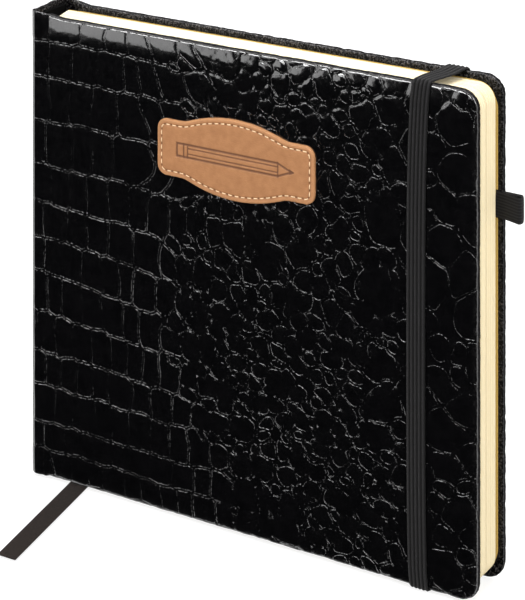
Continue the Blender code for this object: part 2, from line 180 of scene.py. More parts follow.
class Nodes:
    """A small helper that writes one node tree: a new material's, or the world's."""

    def __init__(self, name, world=False):
        self.block = (bpy.data.worlds if world else bpy.data.materials).new(name)
        self.block.use_nodes = True
        self.tree = self.block.node_tree
        self.shader = self.tree.nodes.get("Principled BSDF")

    def add(self, kind, **inputs):
        node = self.tree.nodes.new(kind)
        for key, value in inputs.items():
            self.set(node, key, value)
        return node

    def set(self, node, key, value):
        socket = node.inputs[int(key[1:])] if key[0] == "i" and key[1:].isdigit() else node.inputs[key]
        if isinstance(value, bpy.types.NodeSocket):
            self.tree.links.new(value, socket)
        else:
            socket.default_value = value

    def surface(self, **inputs):
        for key, value in inputs.items():
            self.set(self.shader, key.replace("_", " "), value)

    def place(self, kind="Object"):
        return self.add("ShaderNodeTexCoord").outputs[kind]

    def scaled(self, vector, scale):
        node = self.add("ShaderNodeMapping", Vector=vector, Scale=scale)
        return node.outputs["Vector"]

    def noise(self, vector, scale, detail=3.0, rough=0.5):
        node = self.add("ShaderNodeTexNoise", Vector=vector, Scale=scale, Detail=detail, Roughness=rough)
        return node.outputs["Fac"]

    def voronoi(self, vector, scale):
        return self.add("ShaderNodeTexVoronoi", Vector=vector, Scale=scale).outputs["Distance"]

    def wave(self, vector, scale, direction="X", distortion=0.0):
        node = self.add("ShaderNodeTexWave", Vector=vector, Scale=scale, Distortion=distortion)
        node.bands_direction = direction
        return node.outputs["Fac"]

    def ramp(self, value, stops, interpolation="LINEAR"):
        """stops: (position, value or colour)."""
        node = self.add("ShaderNodeValToRGB", Fac=value)
        node.color_ramp.interpolation = interpolation
        elements = node.color_ramp.elements
        for place, colour in stops[2:]:
            elements.new(place)
        for element, (place, colour) in zip(elements, sorted(stops, key=lambda stop: stop[0])):
            element.position = place
            rgb = colour if isinstance(colour, tuple) else (colour, colour, colour)
            element.color = (*rgb, 1.0)
        return node.outputs["Color"]

    def maths(self, operation, first, second=0.0):
        node = self.add("ShaderNodeMath", i0=first, i1=second)
        node.operation = operation
        return node.outputs[0]

    def times(self, first, second):
        return self.maths("MULTIPLY", first, second)

    def mix(self, share, first, second, kind="MIX"):
        node = self.add("ShaderNodeMix")
        node.data_type = "RGBA"
        node.blend_type = kind
        for place, value in ((0, share), (6, first), (7, second)):
            if isinstance(value, bpy.types.NodeSocket):
                self.tree.links.new(value, node.inputs[place])
            else:
                node.inputs[place].default_value = value if place == 0 else (*value, 1.0)
        return node.outputs[2]

    def attribute(self, name):
        node = self.add("ShaderNodeAttribute")
        node.attribute_name = name
        return node.outputs["Fac"]

    def by_ray(self, ray, others, these):
        """A shader that is another one for one kind of ray."""
        share = self.add("ShaderNodeLightPath").outputs[ray]
        return self.add("ShaderNodeMixShader", i0=share, i1=others, i2=these).outputs[0]

    def bump(self, height, depth, normal=None):
        node = self.add("ShaderNodeBump", Height=height, Distance=depth, Strength=1.0)
        if normal:
            self.set(node, "Normal", normal)
        return node.outputs["Normal"]


def crease_line(n, name, width):
    """A thin groove where the named distance, in millimetres, is close to nothing."""
    off = n.maths("DIVIDE", n.attribute(name), width)
    return n.maths("EXPONENT", n.times(n.times(off, off), -1.0))


def croc_leather():
    """Lacquered black imitation leather: a smooth coat over faint pores, with sharp creases in the emboss.
    Pale grey specks on the crinkled edges are painted glints.
    """
    n = Nodes("black_croc_leather")
    place = n.place()
    mottle = n.noise(place, 160.0, 4.0, 0.6)
    colour = n.ramp(mottle, [(0.3, (0.0010, 0.0010, 0.0013)), (0.75, (0.0024, 0.0023, 0.0027))])
    roughness = n.ramp(n.noise(place, 420.0, 3.0), [(0.3, 0.10), (0.75, 0.20)])
    creases = n.times(crease_line(n, "crease", 0.085), n.attribute("crease_depth"))
    wrinkles = n.times(crease_line(n, "wrinkle", 0.09), n.attribute("wrinkle_depth"))
    broken = n.ramp(n.noise(place, 1000.0, 3.0, 0.6), [(0.46, 0.0), (0.54, 1.0)])
    cut = n.times(n.maths("ADD", creases, n.times(wrinkles, 0.5)), broken)
    fine = n.bump(n.noise(place, 620.0, 3.0, 0.55), 0.000018)
    folded = n.attribute("crinkle")
    crinkles = n.noise(place, 1300.0, 3.0, 0.6)
    fine = n.bump(n.times(crinkles, folded), 0.00035, fine)
    # Painted glints: pale grey specks where the leather is crinkled stand in for highlights.
    painted_glints = n.times(n.ramp(crinkles, [(0.50, 0.0), (0.62, 1.0)]), folded)
    colour = n.mix(painted_glints, colour, (0.085, 0.080, 0.081))
    normal = n.bump(cut, -0.0001, fine)
    gloss = n.attribute("gloss")
    n.surface(Base_Color=colour, Roughness=roughness, Normal=normal)
    n.surface(Specular_IOR_Level=n.times(gloss, 0.45))
    n.surface(Coat_Weight=n.times(gloss, 0.8), Coat_Roughness=0.035, Coat_Normal=normal)
    return n.block


def elastic(name="charcoal_elastic", light=0.017):
    """Ribbed elastic: the ribs are in the mesh, and the weave of the cross threads is here. The grooves
    between the ribs and the band's underside are painted darker as shade.
    """
    n = Nodes(name)
    uv = n.place("UV")
    across = n.wave(n.scaled(uv, (0.0, 1.0, 0.0)), 640.0, "Y")
    along = n.wave(n.scaled(uv, (1.0, 0.0, 0.0)), 1100.0, "X")
    weave = n.times(across, along)
    fuzz = n.noise(n.place(), 2600.0, 3.0, 0.7)
    rib = n.attribute("rib")
    # Painted shade: the colour darkens in the grooves between the ribs.
    rib_shade = n.times(rib, n.maths("ADD", 0.75, n.times(fuzz, 0.5)))
    dark = (light * 0.12,) * 3
    pale = (light, light * 0.97, light * 1.02)
    colour = n.ramp(rib_shade, [(0.0, dark), (1.0, pale)])
    normal = n.bump(n.maths("ADD", weave, fuzz), 0.00005)
    n.surface(Base_Color=colour, Roughness=0.9, Normal=normal, Specular_IOR_Level=0.05)
    n.surface(Sheen_Weight=0.08, Sheen_Roughness=0.5)
    return n.block


def ribbon_satin():
    """Dark brown-grey woven ribbon."""
    n = Nodes("dark_ribbon")
    uv = n.place("UV")
    warp = n.wave(n.scaled(uv, (1.0, 0.0, 0.0)), 1300.0, "X", 1.5)
    weft = n.wave(n.scaled(uv, (0.0, 1.0, 0.0)), 900.0, "Y", 1.5)
    weave = n.times(warp, weft)
    mottle = n.noise(n.scaled(uv, (500.0, 160.0, 1.0)), 3.0, 4.0, 0.7)
    colour = n.ramp(mottle, [(0.35, (0.003, 0.0019, 0.0015)), (0.75, (0.023, 0.0152, 0.0120))])
    normal = n.bump(n.maths("ADD", weave, mottle), 0.00004)
    n.surface(Base_Color=colour, Roughness=0.8, Normal=normal, Specular_IOR_Level=0.1)
    n.surface(Sheen_Weight=0.05, Sheen_Roughness=0.4)
    return n.block


def tan_leather():
    """The label: fine grained tan leather, darker where it is pressed in and paler on the rubbed rim."""
    n = Nodes("tan_leather")
    place = n.place()
    grain = n.voronoi(place, 1700.0)
    mottle = n.noise(place, 260.0, 5.0, 0.65)
    colour = n.ramp(mottle, [(0.25, (0.289, 0.130, 0.053)), (0.78, (0.396, 0.184, 0.080))])
    pressed = n.attribute("pressed")
    rim = n.attribute("rim")
    colour = n.mix(n.times(rim, 0.4), colour, (0.50, 0.253, 0.117))
    colour = n.mix(n.times(pressed, 0.86), colour, (0.105, 0.042, 0.021))
    normal = n.bump(grain, 0.00004)
    normal = n.bump(n.noise(place, 900.0, 4.0, 0.6), 0.00010, normal)
    n.surface(Base_Color=colour, Roughness=0.6, Normal=normal, Specular_IOR_Level=0.15)
    return n.block


def thread(name, colour):
    n = Nodes(name)
    place = n.place()
    twist = n.wave(place, 900.0, "DIAGONAL")
    # Painted shade: the thread darkens in the grooves of its twist.
    shade = n.ramp(twist, [(0.0, tuple(0.55 * c for c in colour)), (0.7, colour)])
    n.surface(Base_Color=shade, Roughness=0.75, Normal=n.bump(twist, 0.00004))
    return n.block


def paper(name, colour, edge_lines_and_shade=True):
    """Uncoated paper with faint fibres, whose broad faces are painted a greyer cream as shade. Page edges
    also carry faint lines along the block, and a painted shade that deepens towards the fore-edge.
    """
    n = Nodes(name)
    place = n.place()
    fibres = n.noise(n.scaled(place, (1.0, 2.5, 1.0)), 700.0, 4.0, 0.7)
    deep = tuple(c * k for c, k in zip(colour, (0.975, 0.955, 0.90)))
    shade = n.ramp(fibres, [(0.3, deep), (0.7, colour)])
    # Painted shade: the sheets' broad faces are painted a greyer cream than their trimmed edges.
    facing = n.add("ShaderNodeSeparateXYZ", Vector=n.place("Normal")).outputs["Y"]
    faces = n.ramp(n.maths("ABSOLUTE", facing), [(0.7, 1.0), (0.95, (0.86, 0.84, 0.80))])
    shade = n.mix(1.0, shade, faces, "MULTIPLY")
    if edge_lines_and_shade:
        # Painted shade: the paper turns a deeper cream towards the fore-edge.
        across = n.add("ShaderNodeSeparateXYZ", Vector=place).outputs["X"]
        painted_fore_edge_shade = n.ramp(n.times(across, 4.0), [(0.66, 1.0), (0.84, (0.98, 0.945, 0.865))])
        shade = n.mix(1.0, shade, painted_fore_edge_shade, "MULTIPLY")
        lines = n.noise(n.scaled(place, (0.6, 260.0, 0.6)), 12.0, 4.0, 0.75)
        tint = n.ramp(lines, [(0.3, (0.93, 0.88, 0.78)), (0.62, 1.0)])
        shade = n.mix(0.55, shade, tint, "MULTIPLY")
    n.surface(Base_Color=shade, Roughness=0.85, Normal=n.bump(fibres, 0.00002), Specular_IOR_Level=0.2)
    return n.block


def fibrous(name, dark, pale, scale, depth, roughness):
    """Board, foam and mull: matt stock with a speckle."""
    n = Nodes(name)
    speckle = n.noise(n.place(), scale, 5.0, 0.7)
    n.surface(
        Base_Color=n.ramp(speckle, [(0.3, dark), (0.7, pale)]),
        Roughness=roughness,
        Normal=n.bump(speckle, depth),
        Specular_IOR_Level=0.05,
    )
    return n.block


# ------------------------------------------------------------------------------ the leather's emboss

def lattice_weights(lines, step):
    """How much each point of a coarse random lattice counts at each line, with a smooth cubic falloff."""
    first = lines.min() - 2 * step
    count = int((lines.max() - first) / step) + 3
    place = (lines - first) / step
    low = np.floor(place).astype(int)
    t = place - low
    t = t * t * (3 - 2 * t)
    weights = np.zeros((len(lines), count))
    row = np.arange(len(lines))
    weights[row, low] = 1 - t
    weights[row, low + 1] = t
    return weights


def value_noise(s, t, step_s, step_t, random):
    """Smooth noise from -1 to 1 on the whole sheet."""
    ws, wt = lattice_weights(s, step_s), lattice_weights(t, step_t)
    return ws @ random.uniform(-1, 1, (ws.shape[1], wt.shape[1])) @ wt.T


class Cells:
    """Cells grown from seeds on the flat sheet. Each seed has its own half sizes, tilt and squareness."""

    def __init__(self, s, t, warp_s, warp_t):
        self.s, self.t = s, t
        self.ws, self.wt = warp_s, warp_t
        self.near = np.full((len(s), len(t)), 99.0)
        self.next = np.full((len(s), len(t)), 99.0)
        self.third = np.full((len(s), len(t)), 99.0)
        self.size = np.full((len(s), len(t)), MM)

    def grow(self, seed_s, seed_t, half_s, half_t, tilt, power):
        reach = 2.6 * max(half_s, half_t) + 12 * MM
        i0, i1 = np.searchsorted(self.s, (seed_s - reach, seed_s + reach))
        j0, j1 = np.searchsorted(self.t, (seed_t - reach, seed_t + reach))
        if i1 <= i0 or j1 <= j0:
            return
        ds = self.ws[i0:i1, j0:j1] - seed_s
        dt = self.wt[i0:i1, j0:j1] - seed_t
        c, k = math.cos(tilt), math.sin(tilt)
        along = np.abs(ds * c + dt * k) / half_s
        across = np.abs(dt * c - ds * k) / half_t
        far = (along**power + across**power) ** (1 / power)
        near, after, third = (field[i0:i1, j0:j1] for field in (self.near, self.next, self.third))
        self.size[i0:i1, j0:j1][far < near] = min(half_s, half_t)
        third[:] = np.minimum(third, np.maximum(after, far))
        after[:] = np.minimum(after, np.maximum(near, far))
        near[:] = np.minimum(near, far)

    def distance(self, other):
        """Distance to where another cell is as near, how level that border runs, and its slope."""
        gap = other - self.near
        gs, gt = np.gradient(gap, self.s, self.t)
        steep = np.hypot(gs, gt)
        steep = np.maximum(steep, 1e-6)
        return np.minimum(gap / np.maximum(steep, 25.0), 9 * MM), np.abs(gt) / steep, gs * gt / steep**2

    def borders(self, rounding):
        """The same for the cell's whole border, with its corners rounded."""
        away, level, slope = self.distance(self.next)
        corner, _, _ = self.distance(self.third)
        rim = np.maximum((CELL_LIMIT - self.near) * self.size, -3 * MM)
        total = sum(np.exp(-distance / rounding) for distance in (away, corner, rim))
        return -rounding * np.log(total), level, slope


# The emboss, in metres on the flat sheet. Belly scales lie in rows near the spine; further out come pebbles.
ROW_HEIGHTS = (12, 16, 19, 20, 17, 15.5, 16, 18, 17.5, 15, 16.5, 12, 12, 14)
BELLY_REACH = 98 * MM
CREASE_AT = 0.55 * MM
CELL_LIMIT = 1.28
SPINE_OFFSET = 12.46 * MM
CALM_FROM = 196 * MM
# Smallest and largest half size in millimetres, tries, and how far out from the spine's centre.
PEBBLES = ((6.5, 8.5, 700, 187), (5.0, 6.4, 120, 0), (3.5, 4.5, 3000, 0), (2.3, 3.1, 4500, 0))


def belly_reach(t):
    """How far the rows reach from the spine's centre: less at mid height, more towards the tail."""
    more = 16 * MM * smoothstep(-50 * MM, -90 * MM, t)
    return BELLY_REACH - 15 * MM * groove(t, -4 * MM, 34 * MM) + more


def belly_seeds(random):
    """Rows of nearly rectangular scales from the head down, with a few rounder ones at each row's ends."""
    seeds = []
    top = HALF_H + 1 * MM
    for row, height in enumerate(ROW_HEIGHTS):
        height *= MM
        middle = top - height / 2
        width = (18.0 if row == 0 else 12.0 if row < 6 else 10.0) * MM
        reach = belly_reach(middle) + random.uniform(-6, 6) * MM
        place = -reach
        while place < reach:
            wide = width * random.uniform(0.78, 1.25)
            tilt = random.uniform(-0.05, 0.05)
            seeds.append((place + wide / 2, middle, wide / 2, height / 2, tilt, 5.0))
            place += wide
        for side in (-1, 1):
            edge = reach if side < 0 else place
            for _ in range(3):
                wide = random.uniform(8.5, 11.5) * MM
                tall = min(height / 2, random.uniform(5.2, 6.6) * MM)
                off = random.uniform(-1.2, 1.2) * MM
                seeds.append((side * (edge + wide / 2), middle + off, wide / 2, tall, 0.0, 2.8))
                edge += wide
        top -= height
    return seeds


def pebble_seeds(random, taken):
    """Rounder scales in four sizes, the largest first, dropped at random where there is room."""
    ends = WIDTH + SPINE_OFFSET + 8 * MM
    seeds = list(taken)
    for low, high, tries, nearest in PEBBLES:
        for _ in range(tries):
            s = random.uniform(-ends, ends)
            t = random.uniform(-HALF_H - 8 * MM, HALF_H + 8 * MM)
            half = random.uniform(low, high) * MM
            squash = random.uniform(0.84, 1.18)
            tilt = random.uniform(-0.9, 0.9)
            if abs(s) < max(belly_reach(t) - 2 * MM, nearest * MM) or (abs(s) > CALM_FROM and high < 4):
                continue
            places = np.array([seed[:4] for seed in seeds])
            room = 0.84 * (half + np.minimum(places[:, 2], places[:, 3]))
            if np.any(np.hypot(places[:, 0] - s, places[:, 1] - t) < room):
                continue
            seeds.append((s, t, half * squash, half / squash, tilt, 2.5))
    return seeds[len(taken):]


def groove(away, middle, width):
    return np.exp(-(((away - middle) / width) ** 2))


def emboss(s, t):
    """The height of the leather's surface over its mean, on the flat sheet."""
    random = np.random.default_rng(11)
    out = np.abs(s)[:, None] + 0 * t[None, :]
    wobble_s = 1.1 * MM * value_noise(s, t, 9 * MM, 9 * MM, random)
    wobble_t = 0.9 * MM * value_noise(s, t, 11 * MM, 9 * MM, random)
    wobble_s += 0.16 * MM * value_noise(s, t, 2.8 * MM, 2.4 * MM, random)
    wobble_t += 0.14 * MM * value_noise(s, t, 2.6 * MM, 2.8 * MM, random)
    drift = 9 * MM * smoothstep(10 * MM, 120 * MM, out) * groove(t[None, :], -12 * MM, 45 * MM)
    lean = smoothstep(58 * MM, 76 * MM, out) * (1 - smoothstep(96 * MM, 116 * MM, out))
    lean = lean * smoothstep(30 * MM, 50 * MM, t)
    slant = 0.45 * lean * (t[None, :] - 72 * MM) * np.sign(s)[:, None]
    cells = Cells(s, t, s[:, None] + wobble_s + slant, t[None, :] + wobble_t + drift)
    belly = belly_seeds(random)
    for seed in belly + pebble_seeds(random, belly):
        cells.grow(*seed)

    small = Cells(s, t, s[:, None] + 1.3 * wobble_s, t[None, :] + 1.3 * wobble_t)
    for a in np.arange(s.min(), s.max(), 5.4 * MM):
        for b in np.arange(t.min(), t.max(), 4.6 * MM):
            shift = random.uniform(-2.4, 2.4, 2) * MM
            lean = random.uniform(0.3, 1.2) * (1 if a < 0 else -1)
            small.grow(a + shift[0], b + shift[1], 4.2 * MM, 2.2 * MM, lean, 2.0)
    wrinkle_away, _, _ = small.borders(0.3 * MM)

    beyond = out - belly_reach(t)[None, :]
    pebbly = smoothstep(-8 * MM, 10 * MM, beyond)
    away, level, slope = cells.borders((0.12 + 0.33 * pebbly) * MM)
    lit = smoothstep(-34 * MM, -8 * MM, beyond)
    outer = smoothstep(196 * MM, 212 * MM, out)
    busy = pebbly * (1 - 0.75 * outer)
    falling = level + 1.5 * slope * np.sign(s)[:, None]
    level = smoothstep(0.35, 0.8, level)
    strength = (1.0 + 0.3 * busy) * (0.80 + 0.40 * value_noise(s, t, 7 * MM, 7 * MM, random))
    strength *= np.maximum(level, 0.34 + 0.46 * lit)
    strength *= 1 - 0.62 * pebbly * (1 - smoothstep(0.0, 0.7, falling))
    strength *= 1 - 0.3 * smoothstep(-35 * MM, -90 * MM, t)[None, :] * (1 - 0.6 * pebbly)
    deep = 0.24 + 0.14 * smoothstep(84 * MM, 92 * MM, t)[None, :]
    height = -deep * MM * np.exp(-np.maximum(away, 0) / (0.9 * MM)) * (0.6 + 0.4 * pebbly)
    patch = smoothstep(-0.25, 0.45, value_noise(s, t, 13 * MM, 12 * MM, random))
    near_border = np.exp(-np.maximum(away, 0) / (2.2 * MM))
    wrinkle = (0.08 + 0.92 * busy) * np.clip(0.35 * patch + 0.8 * near_border, 0, 1)
    height -= 0.05 * MM * groove(wrinkle_away, 0, 0.40 * MM) * wrinkle
    height += 0.03 * MM * value_noise(s, t, 2.4 * MM, 1.6 * MM, random) * (0.35 + busy)
    to_edge = np.minimum(WIDTH + SPINE_OFFSET - out, HALF_H - np.abs(t)[None, :])
    rim = 1 - smoothstep(-0.5 * MM, 1.5 * MM, to_edge)
    height += 0.12 * MM * value_noise(s, t, 1.5 * MM, 1.2 * MM, random) * rim
    seam = groove(out, WIDTH + SPINE_OFFSET - 3.2 * MM, 0.5 * MM)
    height -= 0.12 * MM * seam * smoothstep(-0.6, 0.4, value_noise(s, t, 9 * MM, 14 * MM, random))
    single = busy * smoothstep(-0.35, 0.15, value_noise(s, t, 12 * MM, 9 * MM, random))
    middle = CREASE_AT * (1 - single)
    return {"height": height, "crease": (away - middle) / MM, "crease_depth": strength,
            "wrinkle": wrinkle_away / MM, "wrinkle_depth": wrinkle}


# ---------------------------------------------------------------------------------- the leather's shape

WRAP = [("flat", f) for f in np.linspace(0, 1, 15)[1:]]
WRAP += [("edge", f) for f in np.linspace(0, 1, 7)[1:]]
WRAP += [("side", f) for f in np.linspace(0, 1, 6)[1:]]
WRAP += [("inner", f) for f in np.linspace(0, 1, 4)[1:]]
WRAP += [("lip", f) for f in np.linspace(0, 1, 6)[1:]]


def crown(away, size):
    return size * np.clip(1 - away / CROWN_REACH, 0, 1) ** 2


def wrap_profile(size, edge_r, inner_r, thick):
    """For each wrap line: how far out it is from the corner's centre, how deep, and its unrolled length."""
    rows = []
    length = 0.0
    before = (0.0, crown(CORNER_R, size))
    for kind, f in WRAP:
        if kind == "flat":
            out = f * (CORNER_R - edge_r)
            deep = crown(CORNER_R - out, size)
        elif kind == "edge":
            angle = f * math.pi / 2
            out = CORNER_R - edge_r + edge_r * math.sin(angle)
            deep = crown(CORNER_R - out, size) + edge_r * (1 - math.cos(angle))
        elif kind == "side":
            out = CORNER_R
            deep = size + edge_r + f * (thick - inner_r - size - edge_r)
        elif kind == "inner":
            angle = f * math.pi / 2
            out = CORNER_R - inner_r * (1 - math.cos(angle))
            deep = thick - inner_r + inner_r * math.sin(angle)
        else:
            out = CORNER_R - inner_r - f * (LIP - inner_r)
            deep = thick
        length += math.hypot(out - before[0], deep - before[1])
        before = (out, deep)
        rows.append((out, deep, length))
    return np.array([(0.0, crown(CORNER_R, size), 0.0)] + rows)


COVER_THICK = HALF_T - COVER_INNER - LIP_BACK
COVER_WRAP = wrap_profile(CROWN, EDGE_R, INNER_R, COVER_THICK)


def along_wrap(**stretches):
    """One value for each wrap line: on each stretch it runs from the first number to the second."""
    ends = [(*stretches[kind], f) for kind, f in [("flat", 0.0)] + WRAP]
    return np.array([first + f * (last - first) for first, last, f in ends])


# How much of the emboss stays, how crumpled the leather is (which also places the painted pale glints), and
# how glossy.
RELIEF_KEPT = along_wrap(flat=(1, 1), edge=(1, 0.7), side=(0.7, 0.7), inner=(0.7, 0), lip=(0, 0))
CRINKLE = along_wrap(flat=(-0.45, 0.15), edge=(0.15, 0.45), side=(0.3, 1), inner=(1, 1), lip=(0.4, 0.4))
CRINKLE = np.maximum(CRINKLE, 0)
GLOSS = along_wrap(flat=(1, 1), edge=(1, 0.55), side=(0.55, 0.55), inner=(0.55, 0.15), lip=(0.12, 0.12))
T_FACE = np.linspace(-(HALF_H - CORNER_R), HALF_H - CORNER_R, int(2 * (HALF_H - CORNER_R) / FRONT_STEP) + 1)
RINGS = len(WRAP)


def t_lines():
    """(flat coordinate, ring number, sign) of each line across the height, from tail to head."""
    head = HALF_H - CORNER_R + COVER_WRAP[1:, 2]
    flat = np.concatenate([-head[::-1], T_FACE, head])
    ring = np.concatenate([np.arange(RINGS, 0, -1), np.zeros(len(T_FACE), int), np.arange(1, RINGS + 1)])
    return flat, ring, np.sign(flat)


def cover_lines(step):
    """(flat x, ring number) of each line from the joint to the end of the fore-edge lip."""
    count = int((WIDTH - CORNER_R - COVER_EDGE_X) / step) + 1
    face = np.linspace(COVER_EDGE_X, WIDTH - CORNER_R, count)
    flat = np.concatenate([face, WIDTH - CORNER_R + COVER_WRAP[1:, 2]])
    ring = np.concatenate([np.zeros(count, int), np.arange(1, RINGS + 1)])
    return flat, ring


def back_growth(place, edge, most=BACK_GROWTH):
    """The back cover stands out a little further at its fore-edge, and a little less at its head."""
    return most * smoothstep(edge - 26 * MM, edge - 8 * MM, place)


def cover_surface(side, step, t):
    """Base points of a cover's leather, without relief, as an array over its x and t lines."""
    x_flat, x_ring = cover_lines(step)
    t_flat, t_ring, t_sign = t
    x, z = np.meshgrid(x_flat, t_flat, indexing="ij")
    rx, rz = np.meshgrid(x_ring, t_ring, indexing="ij")
    sign = np.broadcast_to(t_sign[None, :], x.shape)
    ring = np.maximum(rx, rz)
    out, deep = COVER_WRAP[ring, 0], COVER_WRAP[ring, 1]
    lx, lz = COVER_WRAP[rx, 2], COVER_WRAP[rz, 2]
    turn = math.pi / 4 * (1 + (lz - lx) / np.maximum(np.maximum(lx, lz), 1e-9))
    corner_x, corner_z = WIDTH - CORNER_R, HALF_H - CORNER_R
    both, only_x, only_z = (rx > 0) & (rz > 0), (rx > 0) & (rz == 0), (rx == 0) & (rz > 0)
    px = np.where(both, corner_x + out * np.cos(turn), np.where(only_x, corner_x + out, x))
    pz = np.where(both, sign * (corner_z + out * np.sin(turn)), np.where(only_z, sign * (corner_z + out), z))
    a = np.maximum(corner_x - x, 1e-9)
    b = np.maximum(corner_z - np.abs(z), 1e-9)
    inside = CORNER_R + a * b / (a**4 + b**4) ** 0.25
    deep = np.where(ring > 0, deep, crown(inside, CROWN))
    if side > 0:
        px = px + back_growth(px, WIDTH)
        pz = pz + back_growth(pz, HALF_H, HEAD_GROWTH)
    return np.stack([px, side * (HALF_T - deep), pz], axis=-1)


def joint_path():
    """(S from the spine's centre, x, y on the back's side) along the joint, from the spine to the cover."""
    run = np.linspace(0, COVER_EDGE_X - HINGE_X, int((COVER_EDGE_X - HINGE_X) / JOINT_STEP) + 2)
    spine_half = HALF_T - HINGE_X
    angle = np.linspace(0, math.pi / 2, 11)
    x = np.concatenate([HINGE_X * (1 - np.cos(angle)), HINGE_X + run[1:]])
    y = np.concatenate([spine_half + HINGE_X * np.sin(angle), np.full(len(run) - 1, HALF_T)])
    y -= GROOVE_DEPTH * groove(x, GROOVE_X, GROOVE_WIDTH)
    s = spine_half + np.concatenate([HINGE_X * angle, HINGE_X * math.pi / 2 + run[1:]])
    return s, x, y


def strip_surface(s, x, y, t):
    """Base points of the leather over the spine and the joints, whose edge gets thinner at the joints."""
    t_flat, t_ring, t_sign = t
    tangent = np.stack([np.gradient(x, s), np.gradient(y, s)], axis=-1)
    tangent /= np.linalg.norm(tangent, axis=-1, keepdims=True)
    inward = np.stack([tangent[:, 1], -tangent[:, 0]], axis=-1)
    at_cover = smoothstep(7.4 * MM, COVER_EDGE_X, x)
    at_spine = 1 - smoothstep(9.6 * MM, 12.0 * MM, np.abs(s))
    rows = []
    for i in range(len(s)):
        c, p = at_cover[i], at_spine[i]
        size = 0.15 * MM + c * (CROWN - 0.15 * MM) + p * 0.25 * MM
        edge_r = JOINT_EDGE_R + c * (EDGE_R - JOINT_EDGE_R) + p * (SPINE_EDGE_R - JOINT_EDGE_R)
        inner_r = JOINT_INNER_R + c * (INNER_R - JOINT_INNER_R)
        thick = JOINT_THICK + c * (COVER_THICK - JOINT_THICK) + p * (SPINE_THICK - JOINT_THICK)
        profile = wrap_profile(size, edge_r, inner_r, thick)
        inside = HALF_H - np.abs(t_flat)
        deep = np.where(t_ring > 0, profile[t_ring, 1], crown(inside, size))
        z = np.where(t_ring > 0, t_sign * (HALF_H - CORNER_R + profile[t_ring, 0]), t_flat)
        rows.append(np.stack([x[i] + inward[i, 0] * deep, y[i] + inward[i, 1] * deep, z], axis=-1))
    return np.array(rows)


def outward(points):
    """Unit normals of a grid of points."""
    normal = np.cross(np.gradient(points, axis=1), np.gradient(points, axis=0))
    return normal / np.maximum(np.linalg.norm(normal, axis=-1, keepdims=True), 1e-12)


def swell(base, s, t):
    """The leather turned in over the spine's ends is thicker, wrinkled and stands out a little."""
    t_flat, t_ring, t_sign = t
    random = np.random.default_rng(3)
    near_spine = 1 - smoothstep(13 * MM, 30 * MM, np.abs(s))[:, None]
    wrinkles = value_noise(s, t_flat, 2.4 * MM, 6 * MM, random)
    wrinkles = wrinkles + value_noise(s, t_flat, 4.5 * MM, 9 * MM, random)
    end = HEAD_SWELL * (t_sign > 0)
    share = along_wrap(flat=(0, 1), edge=(1, 1), side=(1, 1), inner=(1, 1), lip=(1, 0))
    on_flat = sum(kind == "flat" for kind, f in WRAP) + 1
    share[:on_flat] **= 2
    share = share[t_ring][None, :]
    base[..., 2] += near_spine * share * end[None, :] * (0.88 + 0.08 * wrinkles)
    away = np.maximum(HALF_H - t_flat, 0)[None, :]
    at_spine = 1 - smoothstep(9 * MM, 17 * MM, np.abs(s))[:, None]
    base[..., 0] -= at_spine * SPINE_SWELL * (1 + (0.8 + 0.1 * wrinkles) * np.exp(-away / (7 * MM)))
    return base


# Each piece of leather from the front to the back, its body (none for a fold between two), and its CAD node.
LEATHER_PIECES = (
    ("front_cover_leather", "front_cover", "front_cover_skin"),
    ("front_joint_fold", None, "front_joint_leather"),
    ("spine_wrap", "spine", "spine_leather"),
    ("back_joint_fold", None, "back_joint_leather"),
    ("back_cover_leather", "back_cover", "back_cover_skin"),
)


